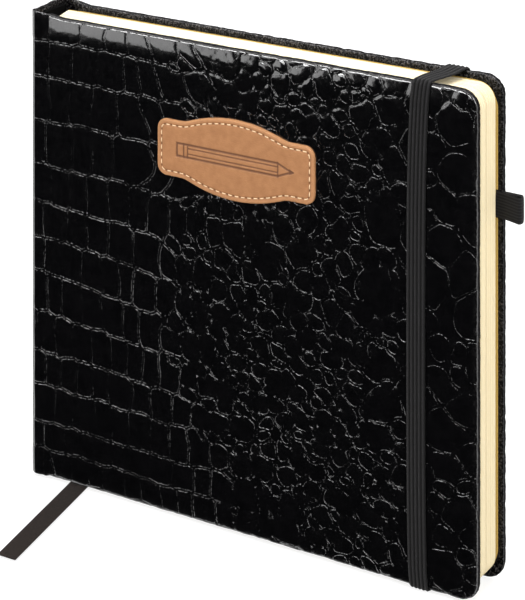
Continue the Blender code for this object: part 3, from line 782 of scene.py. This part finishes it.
def case_leather(look):
    """The whole case's leather as five pieces with matching seams: covers, joints and spine."""
    t = t_lines()
    js, jx, jy = joint_path()
    spine_s = np.linspace(-js[0], js[0], int(2 * js[0] / JOINT_STEP) + 1)
    front_x, back_x = cover_lines(FRONT_STEP)[0], cover_lines(BACK_STEP)[0]
    s_front = -(front_x + js[-1] - COVER_EDGE_X)[::-1]
    s_back = back_x + js[-1] - COVER_EDGE_X
    s_all = np.concatenate([s_front, -js[::-1][1:], spine_s[1:], js[1:], s_back[1:]])

    front = cover_surface(-1, FRONT_STEP, t)[::-1]
    back = cover_surface(1, BACK_STEP, t)
    strip_s = np.concatenate([-js[::-1], spine_s[1:-1], js])
    strip_x = np.concatenate([jx[::-1], 0 * spine_s[1:-1], jx])
    strip_y = np.concatenate([-jy[::-1], spine_s[1:-1], jy])
    strip = strip_surface(strip_s, strip_x, strip_y, t)
    base = swell(np.concatenate([front, strip[1:-1], back]), s_all, t)
    relief = emboss(s_all, t[0])
    kept = RELIEF_KEPT[t[1]][None, :] * np.ones((len(s_all), 1))
    ring_s = np.zeros(len(s_all), int)
    ring_s[: len(front)] = cover_lines(FRONT_STEP)[1][::-1]
    ring_s[-len(back):] = cover_lines(BACK_STEP)[1]
    kept = np.minimum(kept, RELIEF_KEPT[ring_s][:, None])
    gloss = np.minimum(GLOSS[t[1]][None, :], GLOSS[ring_s][:, None])
    gloss = gloss * np.where((t[2] < 0) & (GLOSS[t[1]] < 1), 0.3, 1.0)[None, :]
    gloss = gloss * (1 - 0.75 * groove(np.abs(s_all), SPINE_OFFSET, 1.8 * MM))[:, None]
    crinkle = np.maximum(CRINKLE[t[1]][None, :], 0.5 * CRINKLE[ring_s][:, None])
    points = base + outward(base) * (relief["height"] * kept)[..., None]

    ends = np.cumsum([0, len(front) - 1, len(js) - 1, len(spine_s) - 1, len(js) - 1, len(back) - 1])
    for (name, body, node), start, stop in zip(LEATHER_PIECES, ends, ends[1:]):
        part = points[start:stop + 1]
        obj = mesh_object(name, part, grid_faces(*part.shape[:2], flip=True), look)
        for field in ("crease", "crease_depth", "wrinkle", "wrinkle_depth"):
            share = kept[start:stop + 1] if "depth" in field else 1
            add_float(obj, field, relief[field][start:stop + 1] * share)
        add_float(obj, "gloss", gloss[start:stop + 1])
        add_float(obj, "crinkle", crinkle[start:stop + 1])
        settle(obj, "black_leather", body, node)
        if not body:
            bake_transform(obj)


# ----------------------------------------------------------------------------------------- bands

def sweep(name, path, across, half_width, thick, ribs, look, closed=False, sides=41, rib_share=0.35):
    """A ribbed band along path. across points along its width; its ribs face across x the path."""
    if closed:
        tangent = np.roll(path, -1, axis=0) - np.roll(path, 1, axis=0)
    else:
        tangent = np.gradient(path, axis=0)
    out = np.cross(np.tile(np.array(across, float), (len(path), 1)), tangent)
    out /= np.linalg.norm(out, axis=1, keepdims=True)
    across = np.tile(np.array(across, float), (len(path), 1))
    v = np.linspace(-1, 1, sides)
    rib = 0.5 - 0.5 * np.cos((v + 1) * math.pi * ribs)
    edge = np.sqrt(np.clip(1 - np.abs(v) ** 6, 0, 1))
    top = thick * (1 - rib_share * (1 - rib)) * (0.45 + 0.55 * edge)
    low = thick * 0.5 * (1 - edge) * 0.9
    lift = np.concatenate([top, low[::-1]])
    wide = np.concatenate([v, v[::-1]])[None, :] * (half_width * np.ones(len(path)))[:, None]
    # Painted shade: the underside's rib values are halved, so the elastic is painted darker there.
    ring_rib = np.concatenate([rib, rib[::-1] * 0.5])
    points = path[:, None] + across[:, None] * wide[..., None] + out[:, None] * lift[None, :, None]
    rows, columns = points.shape[:2]
    obj = mesh_object(name, points, grid_faces(rows, columns, True, closed, True), look)
    length = np.concatenate([[0], np.cumsum(np.linalg.norm(np.diff(path, axis=0), axis=1))])
    add_float(obj, "rib", np.tile(ring_rib, rows))
    add_uv(obj, np.repeat(length, columns), wide)
    return obj


def resample(points, step):
    """Even steps along a polyline."""
    length = np.concatenate([[0], np.cumsum(np.linalg.norm(np.diff(points, axis=0), axis=1))])
    want = np.linspace(0, length[-1], int(length[-1] / step) + 1)
    return np.stack([np.interp(want, length, points[:, i]) for i in range(points.shape[1])], axis=-1)


def strap(look):
    """The elastic: out of the back cover's slot, over the head, down the front and round the tail."""
    half = (STRAP_END_HIGH.x - STRAP_END_LOW.x) / 2
    back_x = (STRAP_END_HIGH.x + STRAP_END_LOW.x) / 2 + 1.0 * MM
    front_x = STRAP_LOW.x + half + 0.3 * MM
    head_bow, tail_bow = 2.0 * MM, 0.9 * MM
    gap = 0.12 * MM
    profile = COVER_WRAP[:1 + sum(k in ("flat", "edge", "side") for k, f in WRAP)]
    out_z = HALF_H - CORNER_R + profile[:, 0] + gap * np.linspace(0, 1, len(profile))
    deep = profile[:, 1] - gap * np.linspace(1, 0, len(profile))
    start = np.linspace(HALF_H - CROWN_REACH, HALF_H - CORNER_R, 5)[:-1]
    half_front = [(-(HALF_T + gap), 0.0)]
    half_front += [(-(HALF_T - crown(HALF_H - z, CROWN) + gap), z) for z in start]
    half_front += [(-(HALF_T - d), z) for z, d in zip(out_z, deep)]
    over = [(HALF_T - d, z) for z, d in zip(out_z[::-1], deep[::-1]) if z > HALF_H - 9.3 * MM]
    slot_z = HALF_H - 10 * MM
    into = [(HALF_T - 0.9 * MM, slot_z), (HALF_T - 2.0 * MM, slot_z - 0.3 * MM)]
    head = np.array(half_front + over + into)
    tail = head * np.array([1, -1])
    line = resample(np.concatenate([tail[::-1], head[1:]]), 0.7 * MM)
    y, z = line[:, 0], line[:, 1]
    reach = np.clip((HALF_H - np.abs(z)) / (26 * MM), 0, 6)
    bow = np.where(z > 0, head_bow, tail_bow) * np.exp(-(reach**1.3))
    edge_x = front_x + np.where(z > 0, head_bow, tail_bow)
    cross = smoothstep(-HALF_T + 1 * MM, HALF_T - 1 * MM, y)
    x = np.where(y < -HALF_T + 1 * MM, front_x + bow, edge_x + (back_x - edge_x) * cross)
    z = z + HEAD_GROWTH * smoothstep(2 * MM, HALF_T - 4 * MM, y) * (z > HALF_H - 8 * MM)
    path = np.stack([x, y, z], axis=-1)
    slanted = smoothstep(-HALF_T + 1 * MM, -HALF_T + 9 * MM, y)
    obj = sweep("elastic_band", path, (1, 0, 0), half * (1 + 0.16 * slanted), 1.0 * MM, 5, look, sides=61)
    settle(obj, "charcoal_elastic", None, "elastic_strap", "strap_head_end", "strap_tail_end")
    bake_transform(obj)


def pen_loop(look):
    """A flat elastic band folded double into a loop at the fore-edge."""
    root_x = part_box("pen_loop_tab")[1].x
    middle_y = (LOOP_LOW.y + LOOP_HIGH.y) / 2
    middle_z = (LOOP_LOW.z + LOOP_HIGH.z) / 2
    half = 0.95 * (LOOP_HIGH.z - LOOP_LOW.z) / 2
    end = LOOP_HIGH.x - 0.1 * MM
    knots = np.array([
        (root_x - 3 * MM, middle_y - 0.2 * MM),
        (root_x + 3 * MM, middle_y - 1.4 * MM),
        (end - 0.8 * MM, middle_y - 4.0 * MM),
        (end, middle_y - 3.0 * MM),
        (end, middle_y - 0.2 * MM),
        (end - 0.8 * MM, middle_y + 0.6 * MM),
        (root_x + 3 * MM, middle_y + 0.9 * MM),
        (root_x - 3 * MM, middle_y + 0.2 * MM),
    ])
    line = resample(np.vstack([knots, knots[:1]]), 0.3 * MM)[:-1]
    for _ in range(8):
        line = (np.roll(line, 1, axis=0) + 2 * line + np.roll(line, -1, axis=0)) / 4
    path = np.stack([line[:, 0], line[:, 1], 0 * line[:, 0] + middle_z], axis=-1)
    obj = sweep("pen_loop_band", path, (0, 0, 1), half, 0.9 * MM, 9, look, closed=True, sides=73)
    settle(obj, "charcoal_elastic", None, "pen_loop")
    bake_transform(obj)


def ribbon(look):
    """The bookmark's tail: out of the block's tail edge, down to the ground and out in front."""
    half = 4.75 * MM
    exit_x = 22.8 * MM
    ground = -HALF_H - 0.45 * MM
    inner = -COVER_INNER
    end = RIBBON_LOW.y
    knots = np.array([
        (0.4 * MM, -HALF_H + 2.2 * MM),
        (-1.5 * MM, -HALF_H + 1.2 * MM),
        (-5.0 * MM, -HALF_H + 0.2 * MM),
        (inner, ground),
        (inner - 8 * MM, ground),
        (end + 1.0 * MM, ground + 0.2 * MM),
        (end, ground + 0.2 * MM),
    ])
    line = resample(knots, 0.8 * MM)
    for _ in range(12):
        line[1:-1] = (line[:-2] + 2 * line[1:-1] + line[2:]) / 4
    y, z = line[:, 0], line[:, 1]
    drift = (RIBBON_HIGH.x - exit_x - half) * (y - y[0]) / (y[-1] - y[0])
    path = np.stack([exit_x + drift, y, z], axis=-1)
    obj = sweep("bookmark_ribbon", path, (-1, 0, 0), half, 0.35 * MM, 1, look, sides=25, rib_share=0.0)
    obj.visible_glossy = False
    settle(obj, "dark_ribbon", "bookmark_tail", "ribbon_tail")


# ------------------------------------------------------------------------------------------- label

LABEL_SHOULDER = 12.2 * MM
LABEL_ARCH = 25.0 * MM
LABEL_RISE = 5.0 * MM
LABEL_CORNER = 4.5 * MM
LABEL_THICK = 1.2 * MM
STITCH_IN = 2.2 * MM
STITCH_PITCH = 3.1 * MM
PENCIL_HALF = 29.5 * MM
PENCIL_R = 3.3 * MM


def label_top(x, half):
    """The height of the label's upper outline over its centre line."""
    x = np.abs(x)
    past = np.clip(x - half + LABEL_CORNER, 0, None)
    round_end = LABEL_SHOULDER - LABEL_CORNER + np.sqrt(np.clip(LABEL_CORNER**2 - past**2, 0, None))
    radius = (LABEL_ARCH**2 + LABEL_RISE**2) / (2 * LABEL_RISE)
    lift = np.sqrt(np.clip(radius**2 - x**2, 0, None)) - (radius - LABEL_RISE)
    soft, end = 0.5 * MM, LABEL_ARCH + 4 * MM
    dip = soft * math.log(2) * np.exp(-np.abs(lift) / soft) * 0.3
    lift = soft * np.log1p(np.exp(np.clip(lift / soft, -30, 30))) - dip
    return round_end + np.where(x < end, lift, 0) * (1 - smoothstep(LABEL_ARCH, end, x))


def label_outline(half):
    x = half * np.sin(np.linspace(-math.pi / 2, math.pi / 2, 241))
    top = np.stack([x, label_top(x, half)], axis=-1)
    return np.concatenate([top, -top])


def distance_to(outline, x, z):
    """Distance from each point to a closed polyline."""
    dense = resample(np.vstack([outline, outline[:1]]), 0.25 * MM)
    points = np.stack([x.ravel(), z.ravel()], axis=-1)
    best = np.full(len(points), 9.0)
    for start in range(0, len(dense), 64):
        part = dense[start:start + 64]
        best = np.minimum(best, np.linalg.norm(points[:, None] - part[None], axis=-1).min(axis=1))
    return best.reshape(x.shape)


def stroke_at(away, width):
    """A pressed line with a flat bottom, where away is nothing."""
    return np.exp(-((np.abs(away) / width) ** 4))


def pencil_mark(x, z):
    """How deep a debossed outline of a pencil is pressed at each point, from 0 to 1."""
    tip, cone, band = PENCIL_HALF, PENCIL_HALF - 8 * MM, -PENCIL_HALF + 6 * MM
    half = np.where(x < cone, PENCIL_R, PENCIL_R * np.clip((tip - x) / (tip - cone), 0, 1))
    inside = np.minimum(half - np.abs(z), x + PENCIL_HALF)
    stroke = 1.15 * MM
    edge = stroke_at(inside - stroke / 2, 0.45 * stroke)
    inner = (x > -PENCIL_HALF + 1 * MM) & (x < cone)
    facet = stroke_at(np.abs(z) - PENCIL_R * 0.36, 0.30 * MM) * inner * (x > band)
    rings = sum(stroke_at(x - band + k * 2.0 * MM, 0.36 * MM) for k in range(2)) * (inside > 0)
    collar = stroke_at(x - cone, 0.38 * MM) * (inside > 0)
    lead = (x > tip - 2.6 * MM) & (inside > -0.2 * MM)
    return np.clip(edge * (inside > -0.3 * MM) + facet + rings + collar + lead, 0, 1) * (x < tip)


def label(look, thread_look):
    half = (LABEL_HIGH.x - LABEL_LOW.x) / 2
    centre_x = (LABEL_HIGH.x + LABEL_LOW.x) / 2
    centre_z = (LABEL_HIGH.z + LABEL_LOW.z) / 2
    outline = label_outline(half)
    columns, rows = 270, 121
    u = np.sin(np.linspace(-math.pi / 2, math.pi / 2, columns)) * 0.35 + np.linspace(-1, 1, columns) * 0.65
    x = np.repeat((half * u)[:, None], rows, axis=1)
    v = np.linspace(-1, 1, rows)
    v = 0.8 * v + 0.2 * np.sin(v * math.pi / 2)
    z = label_top(x[:, 0], half)[:, None] * v[None, :]
    away = distance_to(outline, x, z)
    rim_r = 0.8 * MM
    fall = rim_r - np.sqrt(np.clip(rim_r**2 - np.clip(rim_r - away, 0, None) ** 2, 0, None))
    seam = np.exp(-(((away - STITCH_IN) / (0.55 * MM)) ** 2))
    mark = pencil_mark(x, z)
    lift = LABEL_THICK - fall - 0.22 * MM * seam - 0.30 * MM * mark
    lift += 0.10 * MM * smoothstep(0, 6 * MM, away)
    inner = label_stitch_path(outline, STITCH_IN)
    holes = stitch_ends(inner)
    near_hole = np.full(x.shape, 9.0)
    for hx, hz in holes:
        near_hole = np.minimum(near_hole, np.hypot(x - hx, z - hz))
    pit = np.exp(-((near_hole / (0.38 * MM)) ** 2))
    lift -= 0.25 * MM * pit
    face = -HALF_T
    top = np.stack([centre_x + x, face - lift, centre_z + z], axis=-1)
    index = np.arange(columns * rows).reshape(columns, rows)
    rim = np.concatenate([index[:, 0], index[-1, 1:], index[::-1, -1][1:], index[0, ::-1][1:-1]])
    wall = [top.reshape(-1, 3)[rim].copy() for _ in range(2)]
    wall[0][:, 1] = face - 0.35 * MM
    wall[1][:, 1] = face + 0.25 * MM
    after = columns * rows + np.arange(len(rim))
    loops = np.stack([rim, after, after + len(rim)])
    side = grid_faces(3, len(rim), closed_columns=True)
    faces = np.concatenate([grid_faces(columns, rows), loops.ravel()[side]])
    obj = mesh_object("label_patch", np.concatenate([top.reshape(-1, 3), *wall]), faces, look)
    skirt = np.zeros(2 * len(rim))
    add_float(obj, "pressed", np.concatenate([np.clip(mark + 1.2 * pit, 0, 1).ravel(), skirt]))
    add_float(obj, "rim", np.concatenate([smoothstep(STITCH_IN, 0.4 * MM, away).ravel(), skirt + 1]))
    settle(obj, "tan_leather", "front_cover", "label_plaque")
    stitches = stitch_mesh(inner, face - LABEL_THICK + 0.16 * MM, centre_x, centre_z, thread_look)
    settle(stitches, "cream_thread", "front_cover", "label_stitching")


def label_stitch_path(outline, inset):
    """The outline moved inwards, evenly spaced and smoothed at its notches."""
    line = resample(np.vstack([outline, outline[:1]]), 0.3 * MM)[:-1]
    ahead, behind = np.roll(line, -3, axis=0), np.roll(line, 3, axis=0)
    tangent = ahead - behind
    tangent /= np.linalg.norm(tangent, axis=1, keepdims=True)
    inward = np.stack([tangent[:, 1], -tangent[:, 0]], axis=-1)
    moved = line + inset * inward
    for _ in range(6):
        moved = (np.roll(moved, 1, axis=0) + 2 * moved + np.roll(moved, -1, axis=0)) / 4
    return resample(np.vstack([moved, moved[:1]]), 0.1 * MM)


def stitch_ends(path):
    length = 0.1 * MM * len(path)
    count = int(length / STITCH_PITCH)
    places = (np.arange(count) * len(path) / count).astype(int)
    return path[places]


def stitch_mesh(path, face, centre_x, centre_z, look):
    """One thread stitch between each pair of holes, dipping into the leather at both ends."""
    count = len(stitch_ends(path))
    all_points, all_faces, used = [], [], 0
    around = np.linspace(0, 2 * math.pi, 9)[:-1]
    for k in range(count):
        f = np.linspace(0.18, 0.82, 11)
        where = ((k + f) * len(path) / count) % len(path)
        low = np.floor(where).astype(int) % len(path)
        line = path[low]
        tangent = np.gradient(line, axis=0)
        tangent /= np.linalg.norm(tangent, axis=1, keepdims=True)
        normal = np.stack([-tangent[:, 1], tangent[:, 0]], axis=-1)
        hump = np.sin(np.pi * (f - 0.18) / 0.64)
        radius = 0.21 * MM * (0.55 + 0.45 * np.sqrt(np.clip(hump, 0, 1)))
        lift = -0.20 * MM + 0.36 * MM * np.sqrt(np.clip(hump, 0, 1))
        ring = []
        for i in range(len(f)):
            side = radius[i] * np.cos(around)[:, None] * normal[i]
            rise = lift[i] + 0.7 * radius[i] * np.sin(around)
            x, z = centre_x + line[i, 0] + side[:, 0], centre_z + line[i, 1] + side[:, 1]
            ring.append(np.stack([x, face - rise, z], axis=-1))
        points = np.array(ring)
        all_points.append(points.reshape(-1, 3))
        all_faces.append(grid_faces(len(f), len(around), closed_columns=True, flip=True) + used)
        used += points.shape[0] * points.shape[1]
    return mesh_object("label_stitches", np.concatenate(all_points), np.concatenate(all_faces), look)


# ------------------------------------------------------------------------------------------- pages

PAGE_R = 7.5 * MM
LINING_R = 10.5 * MM
SHEET = 0.19 * MM
FOLD = 0.45 * MM


def page_outline(x0, x1, half, corner):
    """A page's outline as (x, z): square at the spine and round at the fore-edge."""
    corner = np.minimum(corner, half)
    angle = np.linspace(-math.pi / 2, 0, 18)
    low = np.stack([x1 - corner + corner * np.cos(angle), -half + corner + corner * np.sin(angle)], axis=-1)
    high = low[::-1] * np.array([1, -1])
    run = np.linspace(x1 - corner, x0, 9)[1:]
    top = np.stack([run, 0 * run + half], axis=-1)
    bottom = top[::-1] * np.array([1, -1])
    return np.concatenate([low, high, top, bottom])


def page_stack(name, node, body, look, random, slot="cream_paper"):
    """A section of sheets, with each sheet's edge a little in or out of the next, folded at the spine."""
    low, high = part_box(node)
    count = max(1, round((high.y - low.y) / SHEET))
    pitch = (high.y - low.y) / count
    rings = []
    middle, half_y = (low.y + high.y) / 2, (high.y - low.y) / 2 + 1e-6
    for i in range(count):
        trim_x, trim_z = random.uniform(0, 0.16, 2) * MM
        for share, extra in ((0.04, 0.05), (0.22, 0.0), (0.72, 0.0), (0.96, 0.07)):
            y = low.y + (i + share) * pitch
            bend = FOLD * (1 - math.sqrt(max(0.0, 1 - ((y - middle) / half_y) ** 2)))
            outline = page_outline(
                low.x + bend + extra * MM, high.x - trim_x - extra * MM,
                high.z - trim_z - extra * MM, PAGE_R,
            )
            rings.append(np.stack([outline[:, 0], 0 * outline[:, 0] + y, outline[:, 1]], axis=-1))
    rings = np.array(rings)
    rows, columns = rings.shape[:2]
    points = rings.reshape(-1, 3)
    faces = grid_faces(rows, columns, closed_columns=True, flip=True)
    obj = mesh_object(name, points, faces, look)
    cap_page(obj, rows, columns)
    settle(obj, slot, body, node)


def cap_page(obj, rows, columns):
    """Closes the first and last sheet with one flat face each."""
    bm = bmesh.new()
    bm.from_mesh(obj.data)
    bm.verts.ensure_lookup_table()
    bm.faces.new([bm.verts[i] for i in range(columns)])
    bm.faces.new([bm.verts[(rows - 1) * columns + i] for i in range(columns)][::-1])
    bmesh.ops.recalc_face_normals(bm, faces=bm.faces)
    bm.to_mesh(obj.data)
    bm.free()
    obj.data.shade_smooth()
    obj.data.set_sharp_from_angle(angle=math.radians(50))


SKIN = 0.65 * MM
BOARD_INSET = 1.6 * MM


def cover_filling(end, side, looks):
    """The board of a cover, and the foam pad that is thinned out under the leather's rounded edges."""
    for kind in ("foam_pad", "board"):
        low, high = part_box(f"{end}_{kind}")
        near, far = max(abs(low.y), abs(high.y)), min(abs(low.y), abs(high.y))
        rings = [(BOARD_INSET + 0.2 * MM, far), (BOARD_INSET, far + 0.1 * MM)]
        if kind == "board":
            rings += [(BOARD_INSET, near - 0.1 * MM), (BOARD_INSET + 0.2 * MM, near)]
        else:
            steps = np.linspace(BOARD_INSET, CROWN_REACH, 9)
            rings += [(i, max(HALF_T - SKIN - crown(i, CROWN), far + 0.15 * MM)) for i in steps]
        points = []
        for inset, y in rings:
            corner = max(CORNER_R - inset, 1.0 * MM)
            line = page_outline(COVER_EDGE_X + 0.4 * MM, WIDTH - inset, HALF_H - inset, corner)
            points.append(np.stack([line[:, 0], 0 * line[:, 0] + side * y, line[:, 1]], axis=-1))
        points = np.array(points)
        faces = grid_faces(*points.shape[:2], closed_columns=True)
        obj = mesh_object(f"{end}_{kind}_core", points, faces, looks[kind])
        cap_page(obj, *points.shape[:2])
        settle(obj, f"grey_{kind.split('_')[0]}", f"{end}_cover", f"{end}_{kind}")


def lining(end, side, fore, looks):
    """The endpaper pasted inside a cover, over the leather's lip."""
    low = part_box(f"{end}_pastedown")[0].x
    half = HALF_H - 2.4 * MM
    rings = []
    for inset, deep in ((0.1, 0.0), (0.0, 0.03), (0.0, 0.2)):
        line = page_outline(low + inset * MM, fore - inset * MM, half - inset * MM, LINING_R)
        y = side * (COVER_INNER - 0.02 * MM + deep * MM)
        rings.append(np.stack([line[:, 0], 0 * line[:, 0] + y, line[:, 1]], axis=-1))
    rings = np.array(rings)
    faces = grid_faces(*rings.shape[:2], closed_columns=True)
    obj = mesh_object(f"{end}_lining_sheet", rings, faces, looks[f"{end}_endpaper"])
    cap_page(obj, *rings.shape[:2])
    slot = "cream_endpaper" if end == "front" else "ochre_endpaper"
    settle(obj, slot, f"{end}_cover", f"{end}_pastedown")


def pages(looks):
    random = np.random.default_rng(5)
    for number in range(1, 11):
        body = "front_pages" if number <= 5 else "back_cover"
        page_stack(f"page_section_{number:02d}", f"section_{number:02d}", body, looks["paper"], random)
    for number in range(1, 4):
        page_stack(f"loose_page_{number}", f"centre_leaf_{number}", f"leaf_{number}", looks["paper"], random)
    for end, body, colour in (("front", "front_pages", "cream"), ("back", "back_cover", "ochre")):
        look = looks[f"{end}_endpaper"]
        page_stack(f"{end}_end_leaf", f"{end}_flyleaf", body, look, random, f"{colour}_endpaper")


# ----------------------------------------------------------------------------------------- studio

# How bright reflections are from the front (0) round the sides (0.5) to the back (1).
GLOW = 2.7
GLOW_BAND = ((0.0, 0.001), (0.27, 0.001), (0.44, 1.0), (0.53, 1.0), (0.64, 0.12), (1.0, 0.01))


AIM = (0.11, 0.0, 0.0)
# Each softbox's place, size, watts, and whether reflections show it.
SOFTBOXES = {
    "low_left_softbox": ((-1.1, -1.29, 0.22), (0.95, 0.6), 5.5, True),
    "front_top_softbox": ((-0.18, -1.35, 0.95), (1.6, 0.7), 15, True),
    "above_softbox": ((0.15, 0.0, 1.5), (0.8, 0.8), 21, False),
    "right_softbox": ((1.4, -0.35, 0.8), (0.4, 1.0), 13, True),
    "back_softbox": ((-0.5, 1.4, 1.0), (0.8, 0.8), 18, False),
}
SHEEN_PLACE = (-0.18, -1.37, 0.965)
SHEEN_SIZE = (1.6, 0.7)
SHEEN_STRENGTH = 14.0


def put(obj, place):
    """Places a light or a panel so that it faces the book."""
    obj.location = place
    obj.rotation_euler = (Vector(AIM) - Vector(place)).to_track_quat("-Z", "Y").to_euler()
    obj.visible_camera = False


def softbox(name, place, size, watts, mirrored):
    light = bpy.data.lights.new(name, "AREA")
    light.shape = "RECTANGLE"
    light.size, light.size_y = size
    light.energy = watts
    obj = bpy.data.objects.new(name, light)
    bpy.context.scene.collection.objects.link(obj)
    put(obj, place)
    obj.visible_glossy = mirrored


def panel(name, width, depth, look):
    x, y = width / 2, depth / 2
    return mesh_object(name, [(-x, -y, 0), (x, -y, 0), (x, y, 0), (-x, y, 0)], [(0, 1, 2, 3)], look)


def sheen_panel():
    """A pale panel that only shows in reflections."""
    glow = Nodes("panel_glow")
    glow.surface(Base_Color=(0, 0, 0, 1), Emission_Color=(1, 1, 1, 1), Emission_Strength=SHEEN_STRENGTH)
    obj = panel("sheen_panel", *SHEEN_SIZE, glow.block)
    put(obj, SHEEN_PLACE)
    obj.visible_diffuse = obj.visible_shadow = False


def wide_glow(n):
    """Reflections stay dark in front of the covers and get bright far out to their sides."""
    incoming = n.add("ShaderNodeNewGeometry").outputs["Incoming"]
    towards = n.add("ShaderNodeSeparateXYZ", Vector=incoming).outputs["Y"]
    share = n.add("ShaderNodeMath", i0=towards, i1=-0.5, i2=0.5)
    share.operation = "MULTIPLY_ADD"
    return n.times(n.ramp(share.outputs[0], GLOW_BAND, "EASE"), GLOW)


def surround(n, kind, camera, other):
    """A glow for the camera, and one for other rays, as (colour, strength). Reflections get wide_glow."""
    seen, rest, mirrored = (
        n.add(kind, i0=(*colour, 1), i1=strength).outputs[0]
        for colour, strength in (camera, other, ((1, 1, 1), wide_glow(n)))
    )
    return n.by_ray("Is Camera Ray", n.by_ray("Is Glossy Ray", rest, mirrored), seen)


def studio():
    n = Nodes("studio", world=True)
    bpy.context.scene.world = n.block
    light = surround(n, "ShaderNodeBackground", ((1, 1, 1), 1.0), ((1, 0.98, 0.95), 0.45))
    n.set(n.tree.nodes["World Output"], "Surface", light)

    n = Nodes("pale_floor")
    light = surround(n, "ShaderNodeEmission", ((1, 1, 1), 0.78), ((1, 0.985, 0.95), 0.5))
    n.surface(Base_Color=(0.30, 0.30, 0.30, 1), Roughness=1.0, Specular_IOR_Level=0.0)
    both = n.add("ShaderNodeAddShader", i0=light, i1=n.shader.outputs[0]).outputs[0]
    n.set(n.tree.nodes["Material Output"], "Surface", n.by_ray("Is Glossy Ray", both, light))
    ground = panel("studio_floor", 12, 12, n.block)
    ground.location.z = CAD_LOW.z - 0.2 * MM

    for name, settings in SOFTBOXES.items():
        softbox(name, *settings)
    sheen_panel()


CAMERA_PLACE = (0.6352, -0.87655, 0.3955)
CAMERA_YAW = 31.385
CAMERA_LENS = 142.43
CAMERA_SHIFT = (0.0415, -1.5605)
CAMERA_SLACK = 0.02


def camera():
    """A level camera with its lens shifted down, as in a product shot, while it is in its own place."""
    data = bpy.data.cameras.new("camera")
    data.sensor_width = 36
    data.lens = CAMERA_LENS
    data.clip_start, data.clip_end = 0.05, 60
    obj = bpy.data.objects.new("camera", data)
    bpy.context.scene.collection.objects.link(obj)
    obj.location = CAMERA_PLACE
    obj.rotation_euler = (math.pi / 2, 0, math.radians(CAMERA_YAW))
    bpy.context.scene.camera = obj
    marker = bpy.data.objects.new("camera_place", None)
    bpy.context.scene.collection.objects.link(marker)
    marker.location = CAMERA_PLACE
    for field, shift in zip(("shift_x", "shift_y"), CAMERA_SHIFT):
        curve = data.driver_add(field)
        curve.driver.type = "AVERAGE"
        away = curve.driver.variables.new()
        away.type = "LOC_DIFF"
        away.targets[0].id, away.targets[1].id = obj, marker
        for modifier in list(curve.modifiers):
            curve.modifiers.remove(modifier)
        for distance, value in ((0.0, shift), (CAMERA_SLACK, 0.0)):
            curve.keyframe_points.insert(distance, value).interpolation = "CONSTANT"


def finish_frame(looks):
    """Good materials for the CAD nodes that stay."""
    for name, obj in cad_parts.items():
        if obj.hide_render:
            continue
        for part, look in looks["nodes"]:
            if part in name:
                obj.data.materials.clear()
                obj.data.materials.append(look)
                break


def build():
    leather = croc_leather()
    strap_look = elastic()
    ribbon_look = ribbon_satin()
    cream = paper("cream_paper", (0.95, 0.89, 0.72))
    cream_end = paper("cream_endpaper", (0.93, 0.87, 0.71), edge_lines_and_shade=False)
    # Partly painted shade: the back endpapers' deep ochre also stands in for the saturated shade deep in the
    # gap between the block and the back cover.
    ochre = paper("ochre_endpaper", (0.62, 0.43, 0.13), edge_lines_and_shade=False)
    board = fibrous("grey_board", (0.20, 0.185, 0.165), (0.30, 0.275, 0.245), 500.0, 0.00006, 0.9)
    foam = fibrous("grey_foam", (0.15, 0.15, 0.15), (0.26, 0.26, 0.26), 1500.0, 0.0001, 0.95)
    inlay = fibrous("black_inlay", (0.001, 0.001, 0.001), (0.004, 0.004, 0.004), 900.0, 0.00005, 0.9)
    mull = fibrous("white_mull", (0.62, 0.60, 0.55), (0.80, 0.78, 0.73), 1800.0, 0.00008, 0.95)
    looks = {
        "paper": cream,
        "front_endpaper": cream_end,
        "back_endpaper": ochre,
        "foam_pad": foam,
        "board": board,
        "nodes": [
            ("spine_board", inlay), ("foam", foam), ("board", board), ("lining", mull),
            ("front_pastedown", cream_end), ("back_pastedown", ochre),
            ("tab", strap_look), ("ribbon", ribbon_look),
        ],
    }
    case_leather(leather)
    strap(strap_look)
    # Painted light: the pen loop's elastic is a paler copy of the strap's charcoal elastic.
    pen_loop(elastic("loop_elastic", 0.036))
    ribbon(ribbon_look)
    label(tan_leather(), thread("cream_thread", (0.92, 0.70, 0.44)))
    pages(looks)
    cover_filling("front", -1, looks)
    cover_filling("back", 1, looks)
    lining("front", -1, WIDTH - 3.5 * MM, looks)
    lining("back", 1, WIDTH + BACK_GROWTH - 2.5 * MM, looks)
    finish_frame(looks)
    studio()
    camera()
    bpy.context.scene.view_settings.view_transform = "Standard"


build()
